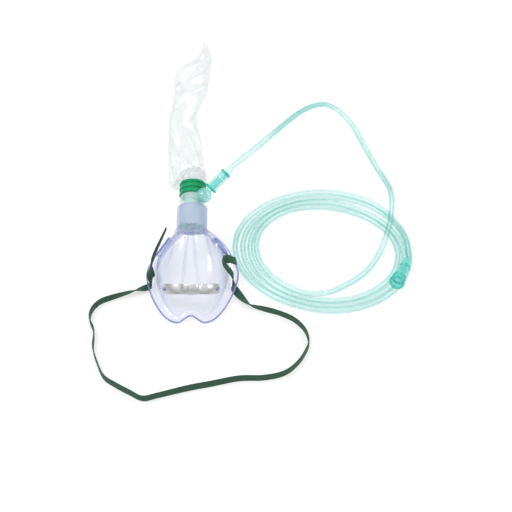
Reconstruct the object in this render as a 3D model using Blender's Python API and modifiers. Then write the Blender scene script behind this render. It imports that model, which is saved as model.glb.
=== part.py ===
"""A high-concentration oxygen mask with its reservoir bag and oxygen tube, lying on a table.

Metres, +Z up. The origin is on the table, midway between the nose end of the mask and the tip of the
bag. The nose end points to -Y, the port, valve head and bag to +Y, and the tube lies on the +X side.
"""

import math

import bmesh
import bpy
from mathutils import Matrix, Vector

# Port of the mask: the 22 mm conical connection that the valve head plugs into.
PORT_BASE = Vector((0, -0.1265, 0.045))
PORT_TILT = math.radians(16)
PORT_AXIS = Vector((0, math.cos(PORT_TILT), math.sin(PORT_TILT)))
PORT_UP = Vector((0, -math.sin(PORT_TILT), math.cos(PORT_TILT)))
SLEEVE_RADIUS = 0.013
SLEEVE_LENGTH = 0.022
TURN_STEPS = 40

# Mask shell.
SHELL = 0.0016
AROUND = 48
BODY_ROWS = 9
# The rim's outer edge on the +X side, from the nose notch to the chin, at its upper face.
RIM = [
    (0, -0.1975, 0.0062),
    (0.0125, -0.2020, 0.0020),
    (0.0255, -0.1950, 0.0030),
    (0.0375, -0.1750, 0.0062),
    (0.0435, -0.1515, 0.0088),
    (0.0390, -0.1320, 0.0078),
    (0.0285, -0.1085, 0.0045),
    (0.0110, -0.0885, 0.0022),
    (0, -0.0860, 0.0020),
]
# A triple holds values at the nose, at the side and at the chin; by_side() goes smoothly between them.
RIM_WIDTH = (0.0062, 0.0098, 0.0062)
RIM_RISE = 0.0016
SHOULDER_REACH = (0.022, 0.014, 0.0072)
SHOULDER_OUT = (0.10, 0.75, 0.76)
SHOULDER_BACK = (0.99, 0.66, -0.645)
WALL_LEAN = (0.002, 0.001, 0.003)
WALL_RISE = (0.018, 0.016, 0.012)
RIDGE_HEIGHT = 0.0016
RIDGE_TURN = 0.030

# Vents, strap slots and nose clip.
VENT_TURN = 0.275
VENT_DOWN = 0.50
VENT_RADIUS = 0.0105
VENT_THICKNESS = 0.0034
VENT_HOLES = 6
VENT_PIN = 0.0012
FLAP_RADIUS = 0.0084
FLAP_THICKNESS = 0.0005
FLAP_TRAVEL = 0.0012
SLOT_CENTRE = Vector((0.0380, -0.1600, 0.0090))
SLOT_SIZE = Vector((0.0036, 0.0104, 0.0120))
CLIP_HALF_LENGTH = 0.0300
CLIP_WIDTH = 0.0096
CLIP_THICKNESS = 0.0008
CLIP_OFF = 0.0007
CLIP_NEAR = Vector((0, -0.1810, 0.0250))
CLIP_LEAN = math.radians(50)
CLIP_STEPS = 24
PEG_RADIUS = 0.0011
PEG_FROM_END = 0.0040

# Valve head, along the port axis from the sleeve's base.
GAP = 0.0003
PLUG_RADIUS = 0.0109
PLUG_START = 0.003
FLANGE_RADIUS = 0.01165
FLANGE_START = SLEEVE_LENGTH + GAP
FLANGE_END = 0.0345
SPIGOT_RADIUS = 0.00975
SPIGOT_END = 0.048
BODY_BORE = 0.0083
SEAT_AT = 0.029
SEAT_THICKNESS = 0.0016
SEAT_SPOKES = 4
COLLAR_RADIUS = 0.01285
COLLAR_GROOVE = 0.0117
COLLAR_RIBS = 3
BOSS_ALONG = 0.0295
BOSS_OUT = 0.0180
BOSS_TURN = math.radians(50)
BOSS_RADIUS = 0.0070
BOSS_BORE = 0.0022
NECK_RADIUS = 0.0048
CUFF_DIRECTION = Vector((0.70, 0.57, 0.42)).normalized()
NIPPLE_RADIUS = 0.0026
NIPPLE_BORE = 0.0015
NIPPLE_END = 0.021
CUFF_START = 0.0078
CUFF_END = 0.0300
CUFF_RADIUS = 0.0046

# Reservoir bag: centre, half width and half thickness of its cross-sections, neck to tip.
BAG_SECTIONS = [
    (0, -0.0799, 0.0584, 0.0096, 0.0096),
    (0, -0.0730, 0.0598, 0.0100, 0.0092),
    (-0.001, -0.0650, 0.0570, 0.0115, 0.0080),
    (-0.003, -0.0560, 0.0460, 0.0140, 0.0065),
    (-0.005, -0.0490, 0.0310, 0.0160, 0.0058),
    (-0.007, -0.0420, 0.0170, 0.0175, 0.0056),
    (-0.009, -0.0300, 0.0080, 0.0185, 0.0058),
    (-0.011, -0.0120, 0.0062, 0.0190, 0.0059),
    (-0.0135, 0.0080, 0.0058, 0.0178, 0.0055),
    (-0.0150, 0.0300, 0.0056, 0.0175, 0.0053),
    (-0.0180, 0.0540, 0.0052, 0.0150, 0.0049),
    (-0.0185, 0.0740, 0.0052, 0.0145, 0.0049),
    (-0.0150, 0.0960, 0.0052, 0.0160, 0.0049),
    (-0.0120, 0.1150, 0.0050, 0.0178, 0.0047),
    (-0.0110, 0.1350, 0.0048, 0.0188, 0.0045),
    (-0.0070, 0.1500, 0.0042, 0.0165, 0.0039),
    (-0.0020, 0.1620, 0.0036, 0.0115, 0.0033),
    (0.0010, 0.1750, 0.0030, 0.0080, 0.0027),
    (0.0015, 0.1880, 0.0022, 0.0040, 0.0019),
    (0.0005, 0.2020, 0.0014, 0.0014, 0.0011),
]
BAG_SIDES = 14

# Oxygen tube.
TUBE_RADIUS = 0.0028
LEAD_ROUTE = [
    (0.0402, -0.0788, 0.0833),
    (0.0506, -0.0691, 0.0850),
    (0.0647, -0.0535, 0.0860),
    (0.0783, -0.0326, 0.0815),
    (0.0899, -0.0096, 0.0725),
    (0.1034, 0.0185, 0.0595),
    (0.1158, 0.0415, 0.0465),
    (0.1275, 0.0595, 0.0340),
    (0.1390, 0.0715, 0.0215),
    (0.1505, 0.0740, 0.0105),
]
RUN_ROUTE = [
    (0.1635, 0.0595, 0.0046),
    (0.1752, 0.0265, 0.0031),
    (0.1864, -0.0065, 0.0034),
    (0.1917, -0.0245, 0.0068),
    (0.1948, -0.0420, 0.0120),
    (0.1953, -0.0590, 0.0152),
    (0.1940, -0.0730, 0.0154),
    (0.1916, -0.0880, 0.0158),
    (0.1872, -0.1030, 0.0128),
    (0.1800, -0.1200, 0.0064),
    (0.1695, -0.1370, 0.0033),
    (0.1560, -0.1510, 0.0031),
    (0.1420, -0.1605, 0.0031),
]
TAIL_ROUTE = [
    (0.2010, -0.0930, 0.0152),
    (0.2040, -0.1030, 0.0152),
    (0.2055, -0.1130, 0.0154),
    (0.2055, -0.1230, 0.0160),
]
TUBE_POINT_SPACING = 0.010
TUBE_GAP = 0.0007

# Coil of the tube: a tilted oval ring that encloses its turns.
COIL_CENTRE = Vector((0.128, -0.1150, 0.0061))
COIL_TURN = math.radians(-8)
COIL_LONG = 0.0775
COIL_SHORT = 0.0655
COIL_HALF_WIDTH = 0.0110
COIL_HALF_HEIGHT = 0.0058
COIL_STEPS = 56

# Supply cuff.
SUPPLY_MOUTH = Vector((0.1885, -0.1778, 0.0302))
SUPPLY_AXIS = Vector((-0.36, -0.875, 0.32)).normalized()
SUPPLY_LENGTH = 0.042
SUPPLY_BORE = 0.0052

# Head strap: centre of the elastic and how far it leans, 0 on edge and 90 degrees flat.
STRAP_WIDTH = 0.008
STRAP_THICKNESS = 0.0010
STRAP_ROUTE = [
    (-0.0262, -0.1080, 0.0260, 15),
    (-0.0300, -0.1170, 0.0230, 10),
    (-0.0350, -0.1290, 0.0190, 5),
    (-0.0385, -0.1420, 0.0172, 0),
    (-0.0392, -0.1520, 0.0178, 30),
    (-0.0382, -0.1600, 0.0160, 90),
    (-0.0380, -0.1604, 0.0090, 90),
    (-0.0400, -0.1610, 0.0038, 90),
    (-0.0460, -0.1630, 0.0030, 80),
    (-0.0550, -0.1670, 0.0042, 30),
    (-0.0730, -0.1740, 0.0044, 4),
    (-0.0853, -0.1800, 0.0044, 2),
    (-0.0920, -0.1895, 0.0044, 0),
    (-0.0928, -0.2005, 0.0044, 0),
    (-0.0885, -0.2110, 0.0044, 4),
    (-0.0872, -0.2190, 0.0044, 4),
    (-0.0866, -0.2330, 0.0044, 0),
    (-0.0818, -0.2475, 0.0044, 0),
    (-0.0745, -0.2630, 0.0044, 0),
    (-0.0635, -0.2715, 0.0044, 4),
    (-0.0500, -0.2795, 0.0044, 4),
    (-0.0385, -0.2855, 0.0044, 0),
    (-0.0260, -0.2825, 0.0044, 0),
    (0, -0.2750, 0.0044, 4),
    (0.0200, -0.2705, 0.0044, 4),
    (0.0450, -0.2648, 0.0044, 2),
    (0.0670, -0.2640, 0.0044, 0),
    (0.0855, -0.2590, 0.0044, 0),
    (0.0980, -0.2475, 0.0044, 0),
    (0.1055, -0.2340, 0.0044, 2),
    (0.1078, -0.2250, 0.0044, 0),
    (0.1045, -0.2120, 0.0044, 0),
    (0.0950, -0.2005, 0.0044, 2),
    (0.0812, -0.1928, 0.0044, 4),
    (0.0670, -0.1880, 0.0044, 4),
    (0.0545, -0.1835, 0.0042, 30),
    (0.0465, -0.1740, 0.0030, 70),
    (0.0396, -0.1622, 0.0022, 90),
    (0.0382, -0.1602, 0.0090, 90),
    (0.0386, -0.1598, 0.0165, 90),
    (0.0370, -0.1592, 0.0218, 60),
    (0.0336, -0.1580, 0.0268, 35),
    (0.0306, -0.1558, 0.0306, 30),
    (0.0312, -0.1520, 0.0322, 40),
    (0.0348, -0.1490, 0.0298, 25),
    (0.0385, -0.1472, 0.0258, 10),
    (0.0412, -0.1462, 0.0232, 10),
]
STRAP_SPACING = 0.006
# A lean above this, where the strap climbs, sets its width along the slot.
IN_SLOT = 55


def new_collection(name, hidden):
    collection = bpy.data.collections.new(name)
    bpy.context.scene.collection.children.link(collection)
    collection.hide_render = hidden
    return collection


def new_material(name, colour, roughness, metallic=0.0, alpha=1.0):
    material = bpy.data.materials.new(name)
    material.use_nodes = True
    shader = material.node_tree.nodes["Principled BSDF"]
    shader.inputs["Base Color"].default_value = (*colour, 1)
    shader.inputs["Roughness"].default_value = roughness
    shader.inputs["Metallic"].default_value = metallic
    shader.inputs["Alpha"].default_value = alpha
    material.diffuse_color = (*colour, alpha)
    return material


def clear_scene():
    for obj in list(bpy.data.objects):
        bpy.data.objects.remove(obj)


def new_object(name, mesh, material=None):
    """A part when it has a material, and otherwise a cutter."""
    obj = bpy.data.objects.new(name, mesh)
    if material:
        mesh.materials.append(material)
        PARTS.objects.link(obj)
    else:
        obj.hide_render = True
        obj.display_type = "WIRE"
        CUTTERS.objects.link(obj)
    return obj


def frame_at(origin, axis, side=Vector((1, 0, 0))):
    """A matrix at origin whose Z runs along axis and whose X lies near side."""
    z = axis.normalized()
    y = z.cross(side).normalized()
    return Matrix.Translation(origin) @ Matrix((y.cross(z), y, z)).transposed().to_4x4()


def on_port(along):
    return frame_at(PORT_BASE + PORT_AXIS * along, PORT_AXIS)


def turned(name, profile, matrix, material=None, steps=TURN_STEPS):
    """Turns a profile of (radius, height) about the matrix's Z. It starts and ends on the axis, or it is a
    closed ring, and its outer side runs from top to bottom."""
    mesh = bpy.data.meshes.new(name)
    count = len(profile)
    on_axis = profile[0][0] == 0
    edges = [(i, (i + 1) % count) for i in range(count - on_axis)]
    mesh.from_pydata([(r, 0, z) for r, z in profile], edges, [])
    obj = new_object(name, mesh, material)
    obj.matrix_world = matrix
    screw = obj.modifiers.new("Turn", "SCREW")
    screw.steps = steps
    screw.render_steps = steps
    screw.use_merge_vertices = True
    screw.merge_threshold = 0.00001
    screw.use_smooth_shade = True
    return obj


def rod(name, radius, low, high, matrix, material=None, steps=20):
    profile = [(0, high), (radius, high), (radius, low), (0, low)]
    return turned(name, profile, matrix, material, steps)


def ball(name, radius, centre):
    mesh = bpy.data.meshes.new(name)
    shape = bmesh.new()
    bmesh.ops.create_uvsphere(shape, u_segments=20, v_segments=12, radius=radius)
    shape.to_mesh(mesh)
    shape.free()
    obj = new_object(name, mesh)
    obj.location = centre
    return obj


def block(name, size, centre, turn=0.0):
    mesh = bpy.data.meshes.new(name)
    shape = bmesh.new()
    bmesh.ops.create_cube(shape, size=1)
    bmesh.ops.scale(shape, vec=size, verts=shape.verts)
    shape.to_mesh(mesh)
    shape.free()
    obj = new_object(name, mesh)
    obj.matrix_world = Matrix.Translation(centre) @ Matrix.Rotation(turn, 4, "Z")
    return obj


def combine(obj, other, operation):
    boolean = obj.modifiers.new(f"{operation.title()} {other.name}", "BOOLEAN")
    boolean.operation = operation
    boolean.object = other


def by_side(values, turn):
    """The value at a turn round the mask, 0 at the nose and 0.5 at the chin, through those three."""
    nose, side, chin = values
    c = math.cos(2 * math.pi * turn)
    return side + (nose - chin) / 2 * c + ((nose + chin) / 2 - side) * c * c


def spline(points, spacing, closed=False):
    """A Catmull-Rom curve through the points, cut into steps of about spacing."""
    points = [Vector(p) for p in points]
    count = len(points)
    finely = []
    for i in range(count if closed else count - 1):
        before = points[i - 1] if closed or i else points[0] * 2 - points[1]
        here, there = points[i], points[(i + 1) % count]
        if closed or i + 2 < count:
            after = points[(i + 2) % count]
        else:
            after = there * 2 - here
        for k in range(24):
            t = k / 24
            finely.append(
                0.5
                * (
                    2 * here
                    + (there - before) * t
                    + (2 * before - 5 * here + 4 * there - after) * t * t
                    + (3 * here - before - 3 * there + after) * t**3
                )
            )
    finely.append(points[0] if closed else points[-1])
    return evenly(finely, spacing, closed)


def evenly(line, spacing, closed=False):
    """The line as equal steps of about spacing. A closed one leaves out its last point."""
    lengths = [0]
    for a, b in zip(line, line[1:]):
        lengths.append(lengths[-1] + (b - a).xyz.length)
    steps = max(2, round(lengths[-1] / spacing))
    found = []
    k = 0
    for i in range(steps if closed else steps + 1):
        want = lengths[-1] * i / steps
        while k < len(line) - 2 and lengths[k + 1] < want:
            k += 1
        share = (want - lengths[k]) / max(lengths[k + 1] - lengths[k], 1e-12)
        found.append(line[k].lerp(line[k + 1], min(max(share, 0), 1)))
    return found


def rim_edge():
    """AROUND points of the rim's outer edge, from the nose round the +X side."""
    half = [Vector(p) for p in RIM]
    other = [Vector((-p.x, p.y, p.z)) for p in half[-2:0:-1]]
    length = 0
    dense = spline(half + other, 0.0005, closed=True)
    for a, b in zip(dense, dense[1:] + dense[:1]):
        length += (b - a).length
    return evenly(dense + dense[:1], length / AROUND, closed=True)[:AROUND]


def circle_point(turn, along, radius):
    angle = 2 * math.pi * turn
    out = PORT_UP * math.cos(angle) + Vector((math.sin(angle), 0, 0))
    return PORT_BASE + PORT_AXIS * along + out * radius, out


def inward_at(edge, k):
    """The level direction into the mask at point k of its rim."""
    before, after = edge[k - 1], edge[(k + 1) % len(edge)]
    return Vector((before.y - after.y, after.x - before.x, 0)).normalized()


def mask_point(edge, turn, t):
    """A point of the mask's outer face, t from 0 at the sleeve's base to 1 at the rim's inner edge."""
    k = math.floor(turn * len(edge))
    share = turn * len(edge) - k
    k, after = k % len(edge), (k + 1) % len(edge)
    here = edge[k].lerp(edge[after], share)
    inward = inward_at(edge, k).lerp(inward_at(edge, after), share)
    start, out = circle_point(turn, 0, SLEEVE_RADIUS)
    end = here + inward * by_side(RIM_WIDTH, turn) + Vector((0, 0, RIM_RISE))
    reach = by_side(SHOULDER_REACH, turn)
    bend = out * by_side(SHOULDER_OUT, turn) - PORT_AXIS * by_side(SHOULDER_BACK, turn)
    high = start + bend * reach
    low = end + inward * by_side(WALL_LEAN, turn) + Vector((0, 0, by_side(WALL_RISE, turn)))
    s = 1 - t
    point = start * s**3 + high * 3 * s * s * t + low * 3 * s * t * t + end * t**3
    from_nose = min(turn, 1 - turn) / RIDGE_TURN
    ridge = math.exp(-(from_nose**2)) - 0.5 * math.exp(-((from_nose - 2) ** 2))
    return point + out * (RIDGE_HEIGHT * ridge * math.sin(math.pi * min(1, 1.15 * t)))


def mask_normal(edge, turn, t):
    step = 0.004
    along = mask_point(edge, turn, t + step) - mask_point(edge, turn, t - step)
    across = mask_point(edge, (turn + step) % 1, t) - mask_point(edge, (turn - step) % 1, t)
    return along.cross(across).normalized()


def make_mask(edge):
    rows = []
    for along in (SLEEVE_LENGTH, SLEEVE_LENGTH * 0.5, 0.001):
        rows.append([circle_point(i / AROUND, along, SLEEVE_RADIUS)[0] for i in range(AROUND)])
    for k in range(1, BODY_ROWS + 1):
        rows.append([mask_point(edge, i / AROUND, k / BODY_ROWS) for i in range(AROUND)])
    rows.append([a.lerp(b, 0.5) for a, b in zip(rows[-1], edge)])
    rows.append(edge)
    points = [p for row in rows for p in row]
    faces = []
    for r in range(0, (len(rows) - 1) * AROUND, AROUND):
        for i in range(AROUND):
            j = (i + 1) % AROUND
            faces.append((r + j, r + i, r + AROUND + i, r + AROUND + j))
    mesh = bpy.data.meshes.new("mask_shell")
    mesh.from_pydata(points, [], faces)
    shell = new_object("mask_shell", mesh, CLEAR_BLUE)
    mesh.shade_smooth()
    solid = shell.modifiers.new("Wall", "SOLIDIFY")
    solid.thickness = SHELL
    solid.offset = -1
    solid.use_even_offset = True
    for side, sign in (("left", -1), ("right", 1)):
        add_vent(shell, edge, side, sign)
        centre = Vector((SLOT_CENTRE.x * sign, SLOT_CENTRE.y, SLOT_CENTRE.z))
        combine(shell, block(f"slot_{side}", SLOT_SIZE, centre), "DIFFERENCE")
    return shell


def vent_frame(edge, sign):
    turn = VENT_TURN if sign > 0 else 1 - VENT_TURN
    point = mask_point(edge, turn, VENT_DOWN)
    return frame_at(point, mask_normal(edge, turn, VENT_DOWN), Vector((0, 1, 0)))


def add_vent(shell, edge, side, sign):
    """Opens the wall and sets a holed disc in it, with a headed pin that the flap slides on."""
    at = vent_frame(edge, sign)
    top = VENT_THICKNESS / 2
    cut = rod(f"vent_cut_{side}", VENT_RADIUS - 0.0012, -0.004, 0.004, at, steps=32)
    combine(shell, cut, "DIFFERENCE")
    pin_top = top + GAP * 2 + FLAP_THICKNESS + FLAP_TRAVEL
    seat = turned(
        f"vent_seat_{side}",
        [
            (0, pin_top + 0.0008),
            (VENT_PIN + 0.0008, pin_top + 0.0008),
            (VENT_PIN + 0.0008, pin_top),
            (VENT_PIN, pin_top),
            (VENT_PIN, top),
            (VENT_RADIUS, top),
            (VENT_RADIUS, -top),
            (0, -top),
        ],
        at,
        steps=32,
    )
    for i in range(VENT_HOLES):
        turn = Matrix.Rotation(2 * math.pi * i / VENT_HOLES, 4, "Z")
        place = at @ turn @ Matrix.Translation((VENT_RADIUS * 0.5, 0, 0))
        hole = rod(f"vent_hole_{side}_{i}", 0.0018, -0.004, 0.004, place, steps=12)
        combine(seat, hole, "DIFFERENCE")
    combine(shell, seat, "UNION")


def make_flap(edge, side, sign):
    at = vent_frame(edge, sign) @ Matrix.Translation((0, 0, VENT_THICKNESS / 2 + GAP))
    hole = VENT_PIN + GAP
    ring = [(FLAP_RADIUS, FLAP_THICKNESS), (FLAP_RADIUS, 0), (hole, 0), (hole, FLAP_THICKNESS)]
    turned(f"exhale_flap_{side}", ring, at, SILICONE, steps=28)


def clip_line(edge):
    """Where the nose clip's middle lies on the mask: the wall cut by a plane that leans back."""
    normal = Vector((0, math.sin(CLIP_LEAN), math.cos(CLIP_LEAN)))
    found = []
    for i in range(-40, 41):
        turn = (i / 160) % 1
        near, far = 0.2, 1.0
        for _ in range(24):
            middle = (near + far) / 2
            if (mask_point(edge, turn, middle) - CLIP_NEAR).dot(normal) > 0:
                near = middle
            else:
                far = middle
        found.append((mask_point(edge, turn, near), mask_normal(edge, turn, near)))
    return found


def make_clip(edge, shell):
    """A thin strip bent over the nose ridge, with a hole near each end for a peg of the shell."""
    line = clip_line(edge)
    middle = len(line) // 2
    lengths = [0] * len(line)
    for step in (1, -1):
        i = middle
        while 0 <= i + step < len(line):
            lengths[i + step] = lengths[i] + (line[i + step][0] - line[i][0]).length * step
            i += step
    stations = []
    for k in range(CLIP_STEPS + 1):
        want = CLIP_HALF_LENGTH * (2 * k / CLIP_STEPS - 1)
        i = max(j for j in range(len(line) - 1) if lengths[j] <= want or j == 0)
        share = (want - lengths[i]) / (lengths[i + 1] - lengths[i])
        point = line[i][0].lerp(line[i + 1][0], share)
        out = line[i][1].lerp(line[i + 1][1], share).normalized()
        stations.append((point, out, want))
    points = []
    for k, (point, out, want) in enumerate(stations):
        before, after = stations[max(k - 1, 0)][0], stations[min(k + 1, CLIP_STEPS)][0]
        across = out.cross(after - before).normalized()
        from_end = CLIP_HALF_LENGTH - abs(want)
        half = CLIP_WIDTH / 2
        if from_end < half:
            half = max(math.sqrt(half**2 - (half - from_end) ** 2), 0.0012)
        for side in (-1, 1):
            for height in (CLIP_OFF, CLIP_OFF + CLIP_THICKNESS):
                points.append(point + out * height + across * half * side)
    faces = [(0, 2, 3, 1), tuple(4 * CLIP_STEPS + i for i in (0, 1, 3, 2))]
    ring = (0, 1, 3, 2)
    for k in range(CLIP_STEPS):
        for i in range(4):
            a, b = 4 * k + ring[i], 4 * k + ring[(i + 1) % 4]
            faces.append((a, b, b + 4, a + 4))
    mesh = bpy.data.meshes.new("nose_clip")
    mesh.from_pydata(points, [], faces)
    fix_normals(mesh)
    clip = new_object("nose_clip", mesh, ALUMINIUM)
    for side, k in (("left", 0), ("right", 1)):
        reach = CLIP_HALF_LENGTH - PEG_FROM_END
        want = reach if k else -reach
        point, out, _ = min(stations, key=lambda s: abs(s[2] - want))
        at = frame_at(point, out)
        hole = rod(f"peg_hole_{side}", PEG_RADIUS + 0.0004, -0.002, 0.004, at, steps=12)
        combine(clip, hole, "DIFFERENCE")
        peg = rod(f"peg_{side}", PEG_RADIUS, -0.0010, 0.0028, at, steps=12)
        combine(shell, peg, "UNION")


def fix_normals(mesh):
    shape = bmesh.new()
    shape.from_mesh(mesh)
    bmesh.ops.recalc_face_normals(shape, faces=shape.faces)
    shape.to_mesh(mesh)
    shape.free()


def make_valve_head():
    at = on_port(0)
    body = turned(
        "valve_body",
        [
            (SPIGOT_RADIUS, SPIGOT_END),
            (SPIGOT_RADIUS, FLANGE_END),
            (FLANGE_RADIUS, FLANGE_END),
            (FLANGE_RADIUS, FLANGE_START),
            (PLUG_RADIUS, FLANGE_START),
            (PLUG_RADIUS - 0.0002, PLUG_START),
            (BODY_BORE, PLUG_START),
            (BODY_BORE, SEAT_AT),
            (BODY_BORE - 0.001, SEAT_AT),
            (BODY_BORE - 0.001, SPIGOT_END),
        ],
        at,
        MINT,
    )
    out = PORT_UP * math.sin(BOSS_TURN) + Vector((math.cos(BOSS_TURN), 0, 0))
    root = PORT_BASE + PORT_AXIS * BOSS_ALONG
    boss = root + out * BOSS_OUT
    inlet = frame_at(root, out)
    neck = rod("boss_neck", NECK_RADIUS, FLANGE_RADIUS - 0.001, BOSS_OUT, inlet)
    combine(body, neck, "UNION")
    combine(body, ball("boss_ball", BOSS_RADIUS, boss), "UNION")
    nipple = frame_at(boss, CUFF_DIRECTION)
    combine(body, rod("nipple", NIPPLE_RADIUS, 0.004, NIPPLE_END, nipple, steps=16), "UNION")
    nipple_bore = rod("nipple_bore", NIPPLE_BORE, -0.001, 0.03, nipple, steps=12)
    combine(body, nipple_bore, "DIFFERENCE")
    boss_bore = rod("boss_bore", BOSS_BORE, 0.006, BOSS_OUT + 0.001, inlet, steps=12)
    combine(body, boss_bore, "DIFFERENCE")
    make_valve_seat()
    make_collar()
    cuff_bore = NIPPLE_RADIUS + GAP
    turned(
        "mask_end_cuff",
        [
            (CUFF_RADIUS + 0.0004, CUFF_END),
            (CUFF_RADIUS + 0.0009, CUFF_END - 0.0012),
            (CUFF_RADIUS + 0.0004, CUFF_END - 0.0035),
            (CUFF_RADIUS, CUFF_END - 0.0050),
            (CUFF_RADIUS, CUFF_START + 0.0045),
            (CUFF_RADIUS + 0.0016, CUFF_START + 0.0020),
            (CUFF_RADIUS + 0.0016, CUFF_START),
            (cuff_bore, CUFF_START),
            (cuff_bore, CUFF_END),
        ],
        nipple,
        TEAL,
        steps=28,
    )
    return boss + CUFF_DIRECTION * CUFF_END


def make_valve_seat():
    """A ring, spokes and a pin, in the valve body's bore; the flap slides on the pin on the mask's side."""
    at = on_port(SEAT_AT - SEAT_THICKNESS - GAP)
    outer = BODY_BORE - GAP
    seat = turned(
        "valve_seat",
        [
            (outer, SEAT_THICKNESS),
            (outer, 0),
            (outer - 0.0016, 0),
            (outer - 0.0016, SEAT_THICKNESS),
        ],
        at,
        MINT,
        steps=32,
    )
    drop = GAP * 2 + FLAP_THICKNESS + FLAP_TRAVEL
    pin = turned(
        "seat_pin",
        [
            (0, SEAT_THICKNESS * 0.9),
            (0.0024, SEAT_THICKNESS * 0.9),
            (0.0024, 0),
            (VENT_PIN, 0),
            (VENT_PIN, -drop),
            (VENT_PIN + 0.0008, -drop),
            (VENT_PIN + 0.0008, -drop - 0.0008),
            (0, -drop - 0.0008),
        ],
        at,
        steps=16,
    )
    for i in range(SEAT_SPOKES // 2):
        place = at @ Matrix.Rotation(math.pi * i / 2, 4, "Z")
        bar = block(f"seat_spoke_{i}", Vector((2 * outer - 0.002, 0.0012, 0.0012)), Vector())
        bar.matrix_world = place @ Matrix.Translation((0, 0, SEAT_THICKNESS / 2))
        combine(seat, bar, "UNION")
    combine(seat, pin, "UNION")
    hole = VENT_PIN + GAP
    turned(
        "inhale_flap",
        [
            (FLAP_RADIUS - 0.0012, -GAP),
            (FLAP_RADIUS - 0.0012, -GAP - FLAP_THICKNESS),
            (hole, -GAP - FLAP_THICKNESS),
            (hole, -GAP),
        ],
        at,
        SILICONE,
        steps=28,
    )


def make_collar():
    low, high = FLANGE_END + GAP, SPIGOT_END
    bore = SPIGOT_RADIUS + GAP
    pitch = (high - low) / (COLLAR_RIBS * 2 - 1)
    outer = []
    for i in range(COLLAR_RIBS * 2 - 1):
        radius = COLLAR_GROOVE if i % 2 else COLLAR_RADIUS
        outer.append((radius, high - i * pitch))
        outer.append((radius, high - (i + 1) * pitch))
    turned("bag_collar", outer + [(bore, low), (bore, high)], on_port(0), DARK_GREEN)


def loft(name, rings, material):
    """A closed solid through rings of the same number of points, capped at both ends."""
    sides = len(rings[0])
    faces = [tuple(range(sides)), tuple((len(rings) - 1) * sides + i for i in range(sides))]
    for r in range(len(rings) - 1):
        for i in range(sides):
            j = (i + 1) % sides
            faces.append((r * sides + i, r * sides + j, (r + 1) * sides + j, (r + 1) * sides + i))
    mesh = bpy.data.meshes.new(name)
    mesh.from_pydata([p for ring in rings for p in ring], [], faces)
    fix_normals(mesh)
    obj = new_object(name, mesh, material)
    mesh.shade_smooth()
    mesh.set_sharp_from_angle(angle=math.radians(40))
    return obj


def make_bag():
    rings = []
    centres = [Vector(s[:3]) for s in BAG_SECTIONS]
    for k, section in enumerate(BAG_SECTIONS):
        if k == 0:
            along = PORT_AXIS
        else:
            along = centres[min(k + 1, len(centres) - 1)] - centres[k - 1]
        side = Vector((along.y, -along.x, 0)).normalized()
        up = side.cross(along).normalized()
        ring = []
        for i in range(BAG_SIDES):
            angle = 2 * math.pi * i / BAG_SIDES
            ring.append(
                centres[k]
                + side * section[3] * math.cos(angle)
                + up * section[4] * math.sin(angle)
            )
        rings.append(ring)
    loft("reservoir_bag", rings, FILM)


def make_tube(name, line):
    curve = bpy.data.curves.new(name, "CURVE")
    curve.dimensions = "3D"
    curve.bevel_depth = TUBE_RADIUS
    curve.bevel_resolution = 2
    curve.use_fill_caps = True
    path = curve.splines.new("POLY")
    path.points.add(len(line) - 1)
    for point, place in zip(path.points, line):
        point.co = (*place, 1)
    curve.materials.append(TUBE_GREEN)
    obj = bpy.data.objects.new(name, curve)
    PARTS.objects.link(obj)
    return obj


def make_tubes(cuff_end):
    start = cuff_end + CUFF_DIRECTION * GAP
    whole = spline([start, *LEAD_ROUTE, *RUN_ROUTE], 0.002)
    split = min(range(len(whole)), key=lambda i: (whole[i] - Vector(LEAD_ROUTE[-1])).length)
    step = (whole[split + 1] - whole[split]).normalized() * TUBE_GAP
    lead = evenly(whole[:split], TUBE_POINT_SPACING)
    run = evenly(whole[split + 1 :], TUBE_POINT_SPACING)
    make_tube("oxygen_tube_lead", [*lead, whole[split]])
    make_tube("oxygen_tube_run", [whole[split] + step, *run])
    base = SUPPLY_MOUTH - SUPPLY_AXIS * (SUPPLY_LENGTH + TUBE_GAP)
    tail = spline([*TAIL_ROUTE, base - SUPPLY_AXIS * 0.003], TUBE_POINT_SPACING)
    make_tube("oxygen_tube_tail", [*tail, base])


def make_coil():
    rings = []
    for i in range(COIL_STEPS):
        angle = 2 * math.pi * i / COIL_STEPS
        centre = Vector((COIL_LONG * math.cos(angle), COIL_SHORT * math.sin(angle), 0))
        out = Vector((COIL_SHORT * math.cos(angle), COIL_LONG * math.sin(angle), 0)).normalized()
        ring = []
        for k in range(10):
            turn = 2 * math.pi * (k + 0.5) / 10
            width = COIL_HALF_WIDTH * math.cos(turn) / math.cos(math.pi / 10)
            height = COIL_HALF_HEIGHT * math.sin(turn) / math.sin(math.pi / 2 - math.pi / 5)
            height = max(-COIL_HALF_HEIGHT, min(COIL_HALF_HEIGHT, height))
            ring.append(centre + out * width + Vector((0, 0, height)))
        rings.append(ring)
    faces = []
    for r in range(COIL_STEPS):
        s = (r + 1) % COIL_STEPS
        for i in range(10):
            j = (i + 1) % 10
            faces.append((r * 10 + i, r * 10 + j, s * 10 + j, s * 10 + i))
    mesh = bpy.data.meshes.new("oxygen_tube_coil")
    mesh.from_pydata([p for ring in rings for p in ring], [], faces)
    fix_normals(mesh)
    coil = new_object("oxygen_tube_coil", mesh, TUBE_GREEN)
    coil.matrix_world = Matrix.Translation(COIL_CENTRE) @ Matrix.Rotation(COIL_TURN, 4, "Z")


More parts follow.
